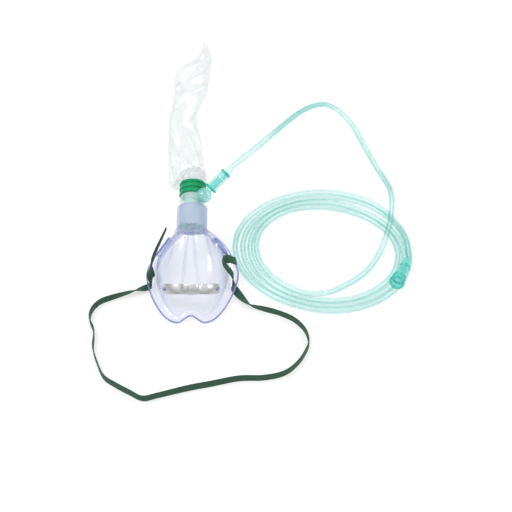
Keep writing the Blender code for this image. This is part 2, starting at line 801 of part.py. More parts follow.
def make_supply_cuff():
    """Flared, ringed mouth towards the supply, then a plain body that narrows to the tube."""
    at = frame_at(SUPPLY_MOUTH - SUPPLY_AXIS * SUPPLY_LENGTH, SUPPLY_AXIS)
    end = SUPPLY_LENGTH
    turned(
        "supply_cuff",
        [
            (0.0070, end),
            (0.0072, end - 0.0035),
            (0.0058, end - 0.0045),
            (0.0058, end - 0.0070),
            (0.0066, end - 0.0080),
            (0.0066, end - 0.0105),
            (0.0053, end - 0.0125),
            (0.0048, 0.0150),
            (0.0052, 0.0140),
            (0.0052, 0.0115),
            (0.0047, 0.0105),
            (0.0043, 0),
            (0.0020, 0),
            (0.0020, 0.0200),
            (0.0034, 0.0210),
            (0.0040, end - 0.0120),
            (SUPPLY_BORE, end),
        ],
        at,
        TEAL,
        steps=28,
    )


def make_strap():
    """One elastic lofted with a rectangular section that leans and twists along its route."""
    flat = [Vector((x, y, z, lean)) for x, y, z, lean in STRAP_ROUTE]
    line = spline(flat, STRAP_SPACING)
    rings = []
    wide = None
    for k, place in enumerate(line):
        before, after = line[max(k - 1, 0)].xyz, line[min(k + 1, len(line) - 1)].xyz
        along = (after - before).normalized()
        lean = math.radians(min(max(place.w, 0), 90))
        level = Vector((0, 0, 1)).cross(along)
        if level.length < 0.3:
            level = Vector((0, 1, 0))
        level.normalize()
        upright = along.cross(level).normalized()
        leaned = upright * math.cos(lean) + level * math.sin(lean)
        if place.w > IN_SLOT and abs(along.z) > 0.5:
            leaned = Vector((0, 1, 0))
        if wide is not None and leaned.dot(wide) < 0:
            leaned = -leaned
        wide = (leaned - along * leaned.dot(along)).normalized()
        thick = along.cross(wide).normalized()
        half, deep = wide * STRAP_WIDTH / 2, thick * STRAP_THICKNESS / 2
        corners = (half + deep, -half + deep, -half - deep, half - deep)
        rings.append([place.xyz + corner for corner in corners])
    loft("head_strap", rings, STRAP_GREEN)


clear_scene()
PARTS = new_collection("oxygen_mask", False)
CUTTERS = new_collection("cutters", True)
CLEAR_BLUE = new_material("clear_blue_pvc", (0.72, 0.76, 0.88), 0.12, alpha=0.4)
ALUMINIUM = new_material("aluminium", (0.78, 0.78, 0.76), 0.35, metallic=1.0)
SILICONE = new_material("silicone", (0.85, 0.86, 0.86), 0.4, alpha=0.7)
STRAP_GREEN = new_material("strap_green", (0.02, 0.09, 0.05), 0.85)
MINT = new_material("mint_plastic", (0.55, 0.82, 0.74), 0.2)
DARK_GREEN = new_material("collar_green", (0.0, 0.25, 0.12), 0.3)
TEAL = new_material("teal_pvc", (0.05, 0.62, 0.52), 0.25)
TUBE_GREEN = new_material("tube_green", (0.45, 0.80, 0.70), 0.15, alpha=0.6)
FILM = new_material("bag_film", (0.9, 0.92, 0.93), 0.15, alpha=0.35)

EDGE = rim_edge()
SHELL_OBJECT = make_mask(EDGE)
make_flap(EDGE, "left", -1)
make_flap(EDGE, "right", 1)
make_clip(EDGE, SHELL_OBJECT)
make_tubes(make_valve_head())
make_coil()
make_supply_cuff()
make_bag()
make_strap()
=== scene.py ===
"""The looks of a high-concentration oxygen mask with its reservoir bag and tube, round its CAD frame.

Metres, +Z up, in the CAD frame: the nose end of the mask points to -Y, the bag to +Y, the tube lies on
the +X side. The port's axis rises towards the bag; the valve head turns about it.
"""

import math

import bmesh
import bpy
from mathutils import Matrix, Vector, noise


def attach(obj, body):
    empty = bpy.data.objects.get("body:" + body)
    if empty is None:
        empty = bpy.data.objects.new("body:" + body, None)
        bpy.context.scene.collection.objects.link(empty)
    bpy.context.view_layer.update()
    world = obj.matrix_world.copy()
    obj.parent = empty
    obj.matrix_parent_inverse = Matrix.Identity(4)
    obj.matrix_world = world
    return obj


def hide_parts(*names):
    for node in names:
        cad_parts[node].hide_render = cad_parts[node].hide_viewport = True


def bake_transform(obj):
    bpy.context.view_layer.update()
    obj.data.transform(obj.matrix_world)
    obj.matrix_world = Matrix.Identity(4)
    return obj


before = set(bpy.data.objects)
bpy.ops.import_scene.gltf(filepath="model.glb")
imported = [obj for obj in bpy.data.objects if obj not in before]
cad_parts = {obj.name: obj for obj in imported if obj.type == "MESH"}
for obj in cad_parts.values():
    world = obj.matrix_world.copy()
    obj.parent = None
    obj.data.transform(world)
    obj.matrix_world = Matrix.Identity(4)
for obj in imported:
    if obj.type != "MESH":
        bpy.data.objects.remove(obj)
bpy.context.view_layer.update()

# Port of the mask, as in the CAD model.
PORT_BASE = Vector((0, -0.1265, 0.045))
PORT_TILT = math.radians(16)
PORT_AXIS = Vector((0, math.cos(PORT_TILT), math.sin(PORT_TILT)))
PORT_UP = Vector((0, -math.sin(PORT_TILT), math.cos(PORT_TILT)))
SLEEVE_RADIUS = 0.013
SLEEVE_LENGTH = 0.022
SLEEVE_ROWS = (1, 0.98, 0.90, 0.6, 0.3, 0.10, 0.03)

# Mask shell.
SHELL = 0.0014
AROUND = 192
BODY_ROWS = 48
RIM = [
    (0, -0.1975, 0.0062), (0.0125, -0.2020, 0.0020), (0.0255, -0.1950, 0.0030),
    (0.0375, -0.1750, 0.0062), (0.0435, -0.1515, 0.0088), (0.0390, -0.1320, 0.0078),
    (0.0285, -0.1085, 0.0045), (0.0110, -0.0885, 0.0022), (0, -0.0860, 0.0020),
]
RIM_WIDTH = (0.0062, 0.0098, 0.0062)
RIM_RISE = 0.0016
SHOULDER_REACH = (0.022, 0.014, 0.0072)
SHOULDER_OUT = (0.10, 0.75, 0.76)
SHOULDER_BACK = (0.99, 0.66, -0.645)
WALL_LEAN = (0.002, 0.001, 0.003)
WALL_RISE = (0.018, 0.016, 0.012)
RIDGE_HEIGHT = 0.0030
RIDGE_TURN = 0.018
PANEL_TURN = 0.150

# Vents, strap slots and nose clip.
VENT_TURN = 0.275
VENT_DOWN = 0.50
VENT_RADIUS = 0.0105
VENT_THICKNESS = 0.0034
VENT_HOLES = 6
VENT_PIN = 0.0012
FLAP_RADIUS = 0.0084
FLAP_THICKNESS = 0.0005
FLAP_TRAVEL = 0.0012
SLOT_CENTRE = Vector((0.0380, -0.1600, 0.0090))
SLOT_SIZE = Vector((0.0036, 0.0104, 0.0120))
CLIP_HALF_LENGTH = 0.0300
CLIP_WIDTH = 0.0096
CLIP_THICKNESS = 0.0008
CLIP_OFF = 0.0007
CLIP_SECTION = [(-1, 0.3), (-0.93, 0), (0, 0), (0.93, 0), (1, 0.3)]
CLIP_SECTION += [(1, 0.7), (0.93, 1), (0, 1.1), (-0.93, 1), (-1, 0.7)]
CLIP_NEAR = Vector((0, -0.1810, 0.0250))
CLIP_LEAN = math.radians(50)
CLIP_CROWN = 0.0022
CLIP_CROWN_WIDTH = 0.0036
PEG_RADIUS = 0.0011
PEG_FROM_END = 0.0040

# Valve head, along the port axis.
GAP = 0.0003
PLUG_RADIUS = 0.0109
PLUG_START = 0.003
FLANGE_RADIUS = 0.01165
FLANGE_START = SLEEVE_LENGTH + GAP
FLANGE_END = 0.0345
SPIGOT_RADIUS = 0.00975
SPIGOT_END = 0.048
BODY_BORE = 0.0083
SEAT_AT = 0.029
SEAT_THICKNESS = 0.0016
COLLAR_RADIUS = 0.01285
COLLAR_GROOVE = 0.0116
COLLAR_RIBS = 3
BOSS_ALONG = 0.0295
BOSS_OUT = 0.0180
BOSS_TURN = math.radians(50)
BOSS_RADIUS = 0.0070
NECK_RADIUS = 0.0048
CUFF_DIRECTION = Vector((0.70, 0.57, 0.42)).normalized()
NIPPLE_RADIUS = 0.0026
NIPPLE_END = 0.021
CUFF_START = 0.0078
CUFF_END = 0.0300
CUFF_RADIUS = 0.0046

# Reservoir bag: centre, half width and half thickness, neck to tip.
BAG_SECTIONS = [
    (0, -0.0799, 0.0584, 0.0100, 0.0100), (0, -0.0730, 0.0598, 0.0104, 0.0092),
    (-0.001, -0.0650, 0.0570, 0.0118, 0.0080), (-0.003, -0.0560, 0.0460, 0.0142, 0.0065),
    (-0.005, -0.0490, 0.0310, 0.0162, 0.0060), (-0.007, -0.0420, 0.0172, 0.0177, 0.0060),
    (-0.009, -0.0300, 0.0085, 0.0187, 0.0062), (-0.011, -0.0120, 0.0068, 0.0192, 0.0062),
    (-0.0135, 0.0080, 0.0064, 0.0180, 0.0058), (-0.0150, 0.0300, 0.0062, 0.0177, 0.0056),
    (-0.0180, 0.0540, 0.0058, 0.0153, 0.0052), (-0.0185, 0.0740, 0.0058, 0.0148, 0.0052),
    (-0.0150, 0.0960, 0.0058, 0.0163, 0.0052), (-0.0120, 0.1150, 0.0056, 0.0180, 0.0050),
    (-0.0110, 0.1350, 0.0054, 0.0190, 0.0048), (-0.0070, 0.1500, 0.0048, 0.0167, 0.0042),
    (-0.0020, 0.1620, 0.0040, 0.0117, 0.0036), (0.0010, 0.1750, 0.0034, 0.0082, 0.0030),
    (0.0015, 0.1880, 0.0026, 0.0042, 0.0022), (0.0005, 0.2020, 0.0016, 0.0014, 0.0012),
]

# Oxygen tube: an arch from the valve head, a run over the coil, the coil and a tail to the supply cuff.
# CORD_SPACING is the step along the tube and the strap.
TUBE_RADIUS = 0.0028
TUBE_BORE = 0.0018
TUBE_IN_CUFF = 0.006
CORD_SPACING = 0.0020
LEAD_ROUTE = [
    (0.0402, -0.0788, 0.0833), (0.0506, -0.0691, 0.0850), (0.0647, -0.0535, 0.0860),
    (0.0783, -0.0326, 0.0815), (0.0899, -0.0096, 0.0725), (0.1034, 0.0185, 0.0595),
    (0.1158, 0.0415, 0.0465), (0.1275, 0.0595, 0.0340), (0.1390, 0.0715, 0.0215),
    (0.1505, 0.0740, 0.0105),
]
RUN_ROUTE = [
    (0.1635, 0.0595, 0.0046), (0.1752, 0.0265, 0.0031), (0.1864, -0.0065, 0.0034),
    (0.1917, -0.0245, 0.0068), (0.1948, -0.0420, 0.0120), (0.1953, -0.0590, 0.0152),
    (0.1940, -0.0730, 0.0154), (0.1916, -0.0880, 0.0158), (0.1872, -0.1030, 0.0128),
    (0.1800, -0.1200, 0.0064), (0.1695, -0.1370, 0.0033), (0.1560, -0.1510, 0.0031),
    (0.1420, -0.1605, 0.0031), (0.1290, -0.1672, 0.0031),
]
TAIL_ROUTE = [
    (0.2040, -0.1030, 0.0118), (0.2055, -0.1130, 0.0134), (0.2055, -0.1230, 0.0150),
]
COIL_CENTRE = Vector((0.128, -0.1150, 0.0030))
COIL_TURN = math.radians(-8)
COIL_LONG = 0.0775
COIL_SHORT = 0.0655
COIL_LANE = 0.0056
COIL_START = -99
COIL_TURNS = 3.635
COIL_CLIMB = 0.0062

# Supply cuff.
SUPPLY_MOUTH = Vector((0.1885, -0.1778, 0.0302))
SUPPLY_AXIS = Vector((-0.36, -0.875, 0.32)).normalized()
SUPPLY_LENGTH = 0.042
SUPPLY_BORE = 0.0050

# Head strap: centre of the elastic and how far it leans, 0 on edge and 90 degrees flat.
STRAP_WIDTH = 0.008
STRAP_THICKNESS = 0.0011
STRAP_ROUTE = [
    (-0.0262, -0.1080, 0.0260, 15), (-0.0300, -0.1170, 0.0230, 10), (-0.0350, -0.1290, 0.0190, 5),
    (-0.0385, -0.1420, 0.0172, 0), (-0.0392, -0.1520, 0.0178, 30), (-0.0382, -0.1600, 0.0160, 90),
    (-0.0380, -0.1604, 0.0090, 90), (-0.0400, -0.1610, 0.0038, 90), (-0.0460, -0.1630, 0.0030, 80),
    (-0.0550, -0.1670, 0.0042, 30), (-0.0730, -0.1740, 0.0044, 4), (-0.0853, -0.1800, 0.0044, 2),
    (-0.0920, -0.1895, 0.0044, 0), (-0.0928, -0.2005, 0.0044, 0), (-0.0885, -0.2110, 0.0044, 4),
    (-0.0872, -0.2190, 0.0044, 4), (-0.0866, -0.2330, 0.0044, 0), (-0.0818, -0.2475, 0.0044, 0),
    (-0.0745, -0.2630, 0.0044, 0), (-0.0635, -0.2715, 0.0044, 4), (-0.0500, -0.2795, 0.0044, 4),
    (-0.0385, -0.2855, 0.0044, 0), (-0.0260, -0.2825, 0.0044, 0), (0, -0.2750, 0.0044, 4),
    (0.0200, -0.2705, 0.0044, 4), (0.0450, -0.2648, 0.0044, 2), (0.0670, -0.2640, 0.0044, 0),
    (0.0855, -0.2590, 0.0044, 0), (0.0980, -0.2475, 0.0044, 0), (0.1055, -0.2340, 0.0044, 2),
    (0.1078, -0.2250, 0.0044, 0), (0.1045, -0.2120, 0.0044, 0), (0.0950, -0.2005, 0.0044, 2),
    (0.0812, -0.1928, 0.0044, 4), (0.0670, -0.1880, 0.0044, 4), (0.0545, -0.1835, 0.0042, 30),
    (0.0465, -0.1740, 0.0030, 70), (0.0396, -0.1622, 0.0022, 90), (0.0382, -0.1602, 0.0090, 90),
    (0.0386, -0.1598, 0.0165, 90), (0.0370, -0.1592, 0.0218, 60), (0.0336, -0.1580, 0.0268, 35),
    (0.0306, -0.1558, 0.0306, 30), (0.0312, -0.1520, 0.0322, 40), (0.0348, -0.1490, 0.0298, 25),
    (0.0385, -0.1472, 0.0258, 10), (0.0412, -0.1462, 0.0232, 10),
]


# Lines and frames.


def by_side(values, turn):
    """The value at a turn round the mask, 0 at the nose and 0.5 at the chin, through those three."""
    nose, side, chin = values
    c = math.cos(2 * math.pi * turn)
    return side + (nose - chin) / 2 * c + ((nose + chin) / 2 - side) * c * c


def smooth(low, high, x):
    t = min(max((x - low) / (high - low), 0), 1)
    return t * t * (3 - 2 * t)


def between(before, here, there, after, t):
    """The point at t, 0 to 1, of the Catmull-Rom curve from here to there."""
    return 0.5 * (
        2 * here
        + (there - before) * t
        + (2 * before - 5 * here + 4 * there - after) * t * t
        + (3 * here - before - 3 * there + after) * t**3
    )


def spline(points, spacing, closed=False):
    """A Catmull-Rom curve through the points, cut into steps of about spacing."""
    points = [Vector(p) for p in points]
    count = len(points)
    finely = []
    for i in range(count if closed else count - 1):
        before = points[i - 1] if closed or i else points[0] * 2 - points[1]
        here, there = points[i], points[(i + 1) % count]
        if closed or i + 2 < count:
            after = points[(i + 2) % count]
        else:
            after = there * 2 - here
        finely += [between(before, here, there, after, k / 24) for k in range(24)]
    finely.append(points[0] if closed else points[-1])
    return evenly(finely, spacing, closed)


def evenly(line, spacing, closed=False):
    """The line as equal steps of about spacing. A closed one leaves out its last point."""
    lengths = [0]
    for a, b in zip(line, line[1:]):
        lengths.append(lengths[-1] + (b.xyz - a.xyz).length)
    steps = max(2, round(lengths[-1] / spacing))
    found = []
    k = 0
    for i in range(steps if closed else steps + 1):
        want = lengths[-1] * i / steps
        while k < len(line) - 2 and lengths[k + 1] < want:
            k += 1
        share = (want - lengths[k]) / max(lengths[k + 1] - lengths[k], 1e-12)
        found.append(line[k].lerp(line[k + 1], min(max(share, 0), 1)))
    return found


def length_of(line):
    return sum((b - a).length for a, b in zip(line, line[1:]))


def frame_at(origin, axis, side=Vector((1, 0, 0))):
    """A matrix at origin whose Z runs along axis and whose X lies near side."""
    z = axis.normalized()
    y = z.cross(side).normalized()
    return Matrix.Translation(origin) @ Matrix((y.cross(z), y, z)).transposed().to_4x4()


def tangents(line, closed=False):
    last = len(line) - 1
    found = []
    for i in range(last + 1):
        before = line[i - 1] if closed or i else line[0]
        after = line[(i + 1) % (last + 1)] if closed or i < last else line[last]
        found.append((after - before).normalized())
    return found


def carried(line, closed=False):
    """For each point of the line, two directions across it that don't twist along it."""
    along = tangents(line, closed)
    across = along[0].orthogonal().normalized()
    found = []
    for t in along:
        across = (across - t * across.dot(t)).normalized()
        found.append((across, t.cross(across)))
    return found


# Meshes.


def new_piece(name, points, faces, material, sharp=40):
    mesh = bpy.data.meshes.new(name)
    mesh.from_pydata(points, [], faces)
    shape = bmesh.new()
    shape.from_mesh(mesh)
    bmesh.ops.recalc_face_normals(shape, faces=shape.faces)
    shape.to_mesh(mesh)
    shape.free()
    mesh.shade_smooth()
    mesh.set_sharp_from_angle(angle=math.radians(sharp))
    if material:
        mesh.materials.append(material)
    obj = bpy.data.objects.new(name, mesh)
    bpy.context.scene.collection.objects.link(obj)
    return obj


def skin(rings, closed=False, caps=True):
    """Faces between rings of the same number of points, each ring closed."""
    sides = len(rings[0])
    count = len(rings)
    faces = []
    for r in range(count if closed else count - 1):
        s = (r + 1) % count
        for i in range(sides):
            j = (i + 1) % sides
            faces.append((r * sides + i, r * sides + j, s * sides + j, s * sides + i))
    if caps and not closed:
        faces.append(tuple(range(sides)))
        faces.append(tuple((count - 1) * sides + i for i in range(sides)))
    return [p for ring in rings for p in ring], faces


def rounded(profile, radius, closed):
    """The profile with each corner turned into a small arc."""
    count = len(profile)
    points = [Vector((r, z, 0)) for r, z in profile]
    found = []
    for i, here in enumerate(points):
        if not closed and i in (0, count - 1):
            found.append(here)
            continue
        before, after = points[i - 1], points[(i + 1) % count]
        cut = min(radius, (before - here).length * 0.45, (after - here).length * 0.45)
        start = here + (before - here).normalized() * cut
        end = here + (after - here).normalized() * cut
        for k in range(5):
            t = k / 4
            found.append(start * (1 - t) ** 2 + here * 2 * t * (1 - t) + end * t * t)
    return [(p.x, p.y) for p in found]


def revolve(name, profile, matrix, material, steps=96, edge=0.0004, flutes=None):
    """Turns a profile of (radius, height) about the matrix's Z, with rounded edges. It starts and ends on
    the axis, or it is a closed ring. flutes is (count, depth, low, high, least): grooves between two heights
    in what is further out than least."""
    on_axis = profile[0][0] == 0
    outline = rounded(profile, edge, closed=not on_axis)
    rings = []
    for i in range(steps):
        angle = 2 * math.pi * i / steps
        ring = []
        for r, z in outline:
            if flutes and r > flutes[4]:
                count, depth, low, high = flutes[:4]
                within = smooth(low, low + 0.002, z) * (1 - smooth(high - 0.002, high, z))
                r -= depth * within * (0.5 + 0.5 * math.cos(count * angle)) ** 2
            ring.append(matrix @ Vector((r * math.cos(angle), r * math.sin(angle), z)))
        rings.append(ring)
    count = len(outline)
    faces = []
    for s in range(steps):
        t = (s + 1) % steps
        for i in range(count - 1 if on_axis else count):
            j = (i + 1) % count
            faces.append((s * count + i, s * count + j, t * count + j, t * count + i))
    obj = new_piece(name, [p for ring in rings for p in ring], faces, material)
    if on_axis:
        shape = bmesh.new()
        shape.from_mesh(obj.data)
        bmesh.ops.remove_doubles(shape, verts=shape.verts, dist=1e-6)
        bmesh.ops.recalc_face_normals(shape, faces=shape.faces)
        shape.to_mesh(obj.data)
        shape.free()
    return obj


def rod(name, radius, low, high, matrix, steps=24):
    profile = [(0, high), (radius, high), (radius, low), (0, low)]
    return revolve(name, profile, matrix, None, steps, edge=0.00005)


def box_at(name, size, centre):
    points = [
        centre + Vector((x * size.x, y * size.y, z * size.z)) / 2
        for x in (-1, 1)
        for y in (-1, 1)
        for z in (-1, 1)
    ]
    faces = [(0, 1, 3, 2), (4, 6, 7, 5), (0, 4, 5, 1), (2, 3, 7, 6), (0, 2, 6, 4), (1, 5, 7, 3)]
    return new_piece(name, points, faces, None)


def settle(obj, *cutters):
    """Replaces obj's mesh by what its modifiers make of it, and removes the shapes that they used."""
    graph = bpy.context.evaluated_depsgraph_get()
    mesh = bpy.data.meshes.new_from_object(obj.evaluated_get(graph), depsgraph=graph)
    obj.modifiers.clear()
    obj.data = mesh
    for cutter in cutters:
        bpy.data.objects.remove(cutter)


def combine(obj, operation, *others):
    for other in others:
        boolean = obj.modifiers.new(other.name, "BOOLEAN")
        boolean.operation = operation
        boolean.object = other
    settle(obj, *others)
    obj.data.shade_smooth()
    obj.data.set_sharp_from_angle(angle=math.radians(35))


def tube(name, line, radius, bore, material, sides=20, closed=False, thinned=None):
    """A tube along the line; with a bore it is hollow and open at both ends. thinned gives each point's share
    of the radius."""
    rings = []
    for k, (place, (a, b)) in enumerate(zip(line, carried(line, closed))):
        ring = []
        here = radius * (thinned[k] if thinned else 1)
        for i in range(sides):
            angle = 2 * math.pi * i / sides
            ring.append(place + (a * math.cos(angle) + b * math.sin(angle)) * here)
        rings.append(ring)
    points, faces = skin(rings, closed, caps=not bore)
    if bore:
        inner = [
            [place + (p - place) * (bore / radius) for p in ring]
            for place, ring in zip(line, rings)
        ]
        more, within = skin(inner, closed, caps=False)
        shift = len(points)
        points += more
        faces += [tuple(shift + i for i in reversed(face)) for face in within]
        for start in (0, shift - sides):
            for i in range(sides):
                j = (i + 1) % sides
                faces.append((start + i, start + j, start + shift + j, start + shift + i))
    return new_piece(name, points, faces, material)


def bead(name, matrix, radius, height, thick, material, sides, around=72):
    """A round ring about the matrix's Z."""
    angles = [2 * math.pi * i / around for i in range(around)]
    line = [matrix @ Vector((radius * math.cos(a), radius * math.sin(a), height)) for a in angles]
    return tube(name, line, thick, 0, material, sides=sides, closed=True)


# Materials.

CORD_PITCH = 0.00105
THREAD_PITCH = 0.0009


def srgb(red, green, blue):
    """A colour of 0 to 255 as the eye sees it, in the shaders' linear terms."""
    found = []
    for c in (red / 255, green / 255, blue / 255):
        found.append(c / 12.92 if c < 0.04045 else ((c + 0.055) / 1.055) ** 2.4)
    return tuple(found)


class Graph:
    """A material's nodes, each made in one line. An input may be a number, a colour or another output."""

    def __init__(self, name):
        self.material = bpy.data.materials.new(name)
        self.material.use_nodes = True
        self.tree = self.material.node_tree
        self.tree.nodes.clear()

    def node(self, kind, inputs, **settings):
        node = self.tree.nodes.new("ShaderNode" + kind)
        for key, value in settings.items():
            setattr(node, key, value)
        for key, value in inputs.items():
            self.put(node.inputs[key], value)
        return node

    def put(self, socket, value):
        if isinstance(value, bpy.types.NodeSocket):
            self.tree.links.new(value, socket)
        elif socket.type == "RGBA" and len(value) == 3:
            socket.default_value = (*value, 1)
        else:
            socket.default_value = value

    def maths(self, operation, *values):
        inputs = dict(enumerate(values))
        return self.node("Math", inputs, operation=operation).outputs[0]

    def blend(self, share, first, second):
        found = self.node("Mix", {}, data_type="RGBA")
        for socket, value in zip((0, 6, 7), (share, first, second)):
            self.put(found.inputs[socket], value)
        return found.outputs[2]

    def noise(self, scale, detail=2.0, stretch=(1, 1, 1)):
        place = self.node("TexCoord", {}).outputs["Object"]
        place = self.node("Mapping", {"Vector": place, "Scale": stretch}).outputs[0]
        inputs = {"Vector": place, "Scale": scale, "Detail": detail}
        return self.node("TexNoise", inputs).outputs["Fac"]

    def bump(self, height, strength, distance):
        inputs = {"Height": height, "Strength": strength, "Distance": distance}
        return self.node("Bump", inputs).outputs[0]

    def finish(self, shader):
        self.node("OutputMaterial", {"Surface": shader})
        return self.material


def film(
    name, clear, face, edge, haze, edge_haze, power, rough,
    painted_form_shade=0.1, ripple=400, depth=0.00003, shine=0.45, deep=None,
):
    """A clear plastic. It is see-through with the tint clear, or deep where the wall is seen edge-on, under
    a haze of its own colour, face, with painted form shading: the haze thickens where the surface leans
    from view, by the form shading strength. Where it turns away, at the rate of power, the haze becomes
    edge_haze and its colour edge. ripple and depth are the scale and height of its waves, and shine its
    gloss at a grazing angle."""
    g = Graph(name)
    turned_away = g.node("LayerWeight", {"Blend": 0.5}).outputs["Facing"]
    rise = g.maths("POWER", turned_away, power)
    cloud = g.noise(30, 2)
    haze_here = g.maths("MULTIPLY_ADD", cloud, haze * 0.6, haze * 0.7)
    # painted form shading: the haze thickens where the surface leans from view
    haze_with_painted_shade = g.maths("MULTIPLY_ADD", g.maths("POWER", turned_away, 2.0), painted_form_shade, haze_here)
    share = g.maths("MULTIPLY_ADD", rise, edge_haze - haze - painted_form_shade, haze_with_painted_shade)
    share = g.maths("MINIMUM", share, 1.0)
    normal = g.bump(g.noise(ripple, 2), 1.0, depth)
    scuffs = g.maths("MULTIPLY_ADD", g.noise(120, 3), 0.04, rough)
    body = g.node(
        "BsdfPrincipled",
        {
            "Base Color": g.blend(rise, face, edge),
            "Roughness": g.maths("ADD", scuffs, 0.15),
            "Specular IOR Level": 0.3,
            "Normal": normal,
        },
    ).outputs[0]
    tint = g.blend(g.maths("POWER", turned_away, 2.0), clear, deep) if deep else clear
    through = g.node("BsdfTransparent", {"Color": tint}).outputs[0]
    wall = g.node("MixShader", {0: share, 1: through, 2: body}).outputs[0]
    gloss = g.node("BsdfGlossy", {"Color": (1, 1, 1), "Roughness": scuffs, "Normal": normal}).outputs[0]
    grazing = g.maths("POWER", turned_away, 5.0)
    reflect = g.maths("MULTIPLY_ADD", grazing, shine, 0.04)
    return g.finish(g.node("MixShader", {0: reflect, 1: wall, 2: gloss}).outputs[0])


def elastic():
    """Woven elastic: cords along the strap, each crossed by fine weft threads. U runs across, V along."""
    g = Graph("green_elastic")
    uv = g.node("UVMap", {}).outputs[0]
    parts = g.node("SeparateXYZ", {"Vector": uv}).outputs
    across, along = parts["X"], parts["Y"]
    cord = g.maths("SINE", g.maths("MULTIPLY", across, 2 * math.pi / CORD_PITCH))
    cord = g.maths("MULTIPLY_ADD", cord, 0.5, 0.5)
    offset = g.maths("MULTIPLY", g.maths("ROUND", g.maths("DIVIDE", across, CORD_PITCH)), math.pi)
    thread = g.maths("MULTIPLY_ADD", along, 2 * math.pi / THREAD_PITCH, offset)
    thread = g.maths("MULTIPLY_ADD", g.maths("SINE", thread), 0.5, 0.5)
    weave = g.maths("MULTIPLY", g.maths("POWER", cord, 0.7), g.maths("MULTIPLY_ADD", thread, 0.45, 0.55))
    fuzz = g.noise(2600, 3)
    patch = g.noise(60, 3)
    tone = g.maths("MULTIPLY_ADD", fuzz, 0.35, g.maths("MULTIPLY", weave, 0.75))
    colour = g.blend(tone, srgb(8, 38, 27), srgb(40, 92, 68))
    colour = g.blend(g.maths("MULTIPLY", patch, 0.35), colour, srgb(22, 62, 46))
    shader = g.node(
        "BsdfPrincipled",
        {
            "Base Color": colour,
            "Roughness": 0.78,
            "Sheen Weight": 0.35,
            "Sheen Roughness": 0.5,
            "Sheen Tint": srgb(120, 170, 140),
            "Normal": g.bump(weave, 0.8, 0.00022),
        },
    )
    return g.finish(shader.outputs[0])


def brushed():
    """Rolled aluminium strip, brushed along its length."""
    g = Graph("brushed_aluminium")
    grain = g.noise(260, 4, stretch=(1, 14, 14))
    blotch = g.noise(140, 2)
    shader = g.node(
        "BsdfPrincipled",
        {
            "Base Color": g.blend(grain, srgb(196, 198, 198), srgb(226, 226, 224)),
            "Metallic": 1.0,
            "Roughness": g.maths("MULTIPLY_ADD", blotch, 0.04, 0.32),
            "Normal": g.bump(grain, 0.2, 0.00002),
        },
    )
    return g.finish(shader.outputs[0])


def collar_plastic():
    """Dark green translucent plastic, with painted light: a lighter teal where the surface turns from view,
    standing for light let in at thin edges.
    """
    g = Graph("collar_green")
    turned_away = g.node("LayerWeight", {"Blend": 0.4}).outputs["Facing"]
    swirl = g.noise(120, 3, stretch=(1, 1, 3))
    colour = g.blend(swirl, srgb(0, 128, 78), srgb(0, 170, 110))
    # painted light: lighter teal towards where the surface turns from view
    colour = g.blend(g.maths("POWER", turned_away, 3.0), colour, srgb(0, 190, 150))
    shader = g.node(
        "BsdfPrincipled",
        {
            "Base Color": colour,
            "Roughness": g.maths("MULTIPLY_ADD", g.noise(600, 3), 0.15, 0.16),
            "Specular IOR Level": 0.25,
            "Coat Weight": 0.15,
            "Coat Roughness": 0.06,
            "Normal": g.bump(g.noise(500, 2), 1.0, 0.00003),
        },
    )
    return g.finish(shader.outputs[0])


def floor_paint():
    """White paint that glows a little, so that the table stays white under the clear parts."""
    g = Graph("white_table")
    shade = g.noise(3, 2)
    shader = g.node(
        "BsdfPrincipled",
        {
            "Base Color": g.blend(shade, (0.44, 0.44, 0.44), (0.47, 0.47, 0.47)),
            "Roughness": 0.9,
            "Specular IOR Level": 0.0,
            "Emission Color": (1, 1, 1),
            "Emission Strength": 0.58,
        },
    )
    return g.finish(shader.outputs[0])


MASK = film(
    "mask_pvc",
    clear=(0.962, 0.967, 0.984), deep=(0.78, 0.80, 0.92), face=srgb(196, 203, 230), edge=srgb(112, 118, 212),
    haze=0.07, edge_haze=0.85, power=5.0, rough=0.10, painted_form_shade=0.16, ripple=60,
)
SLEEVE = film(
    "sleeve_pvc",
    clear=(0.90, 0.92, 0.97), face=srgb(206, 216, 236), edge=srgb(120, 128, 214),
    haze=0.42, edge_haze=0.88, power=4.0, rough=0.14, painted_form_shade=0.2, ripple=60,
)
RIM_EDGE = film(
    "mask_rim_pvc",
    clear=(0.72, 0.74, 0.93), face=srgb(150, 156, 226), edge=srgb(84, 90, 205),
    haze=0.55, edge_haze=0.95, power=1.5, rough=0.05,
)
BAG = film(
    "bag_film",
    clear=(0.945, 0.953, 0.953), face=srgb(226, 230, 230), edge=srgb(166, 172, 175),
    haze=0.07, edge_haze=0.60, power=3.0, rough=0.10, painted_form_shade=0.16, ripple=45, depth=0.0001, shine=0.5,
)
TUBE = film(
    "tube_pvc",
    clear=(0.925, 0.974, 0.967), deep=(0.50, 0.80, 0.77), face=srgb(170, 228, 220), edge=srgb(70, 184, 170),
    haze=0.02, edge_haze=0.45, power=4.0, rough=0.20, painted_form_shade=0.06, ripple=12, depth=0.000005, shine=0.2,
)
MINT = film(
    "mint_plastic",
    clear=(0.97, 0.99, 0.984), face=srgb(214, 243, 238), edge=srgb(96, 210, 190),
    haze=0.45, edge_haze=0.85, power=3.5, rough=0.05, painted_form_shade=0.05, shine=0.2,
)
TEAL = film(
    "teal_pvc",
    clear=(0.82, 0.97, 0.96), face=srgb(140, 232, 226), edge=srgb(0, 200, 188),
    haze=0.15, edge_haze=0.92, power=2.4, rough=0.14, shine=0.3,
)
PALE_TEAL = film(
    "pale_teal_pvc",
    clear=(0.84, 0.98, 0.97), face=srgb(178, 240, 235), edge=srgb(0, 196, 184),
    haze=0.26, edge_haze=0.92, power=1.7, rough=0.14, painted_form_shade=0.05, shine=0.3,
)
TEAL_RING = film(
    "teal_ring",
    clear=(0.20, 0.90, 0.86), face=srgb(20, 224, 210), edge=srgb(0, 160, 150),
    haze=0.40, edge_haze=0.95, power=2.0, rough=0.05,
)
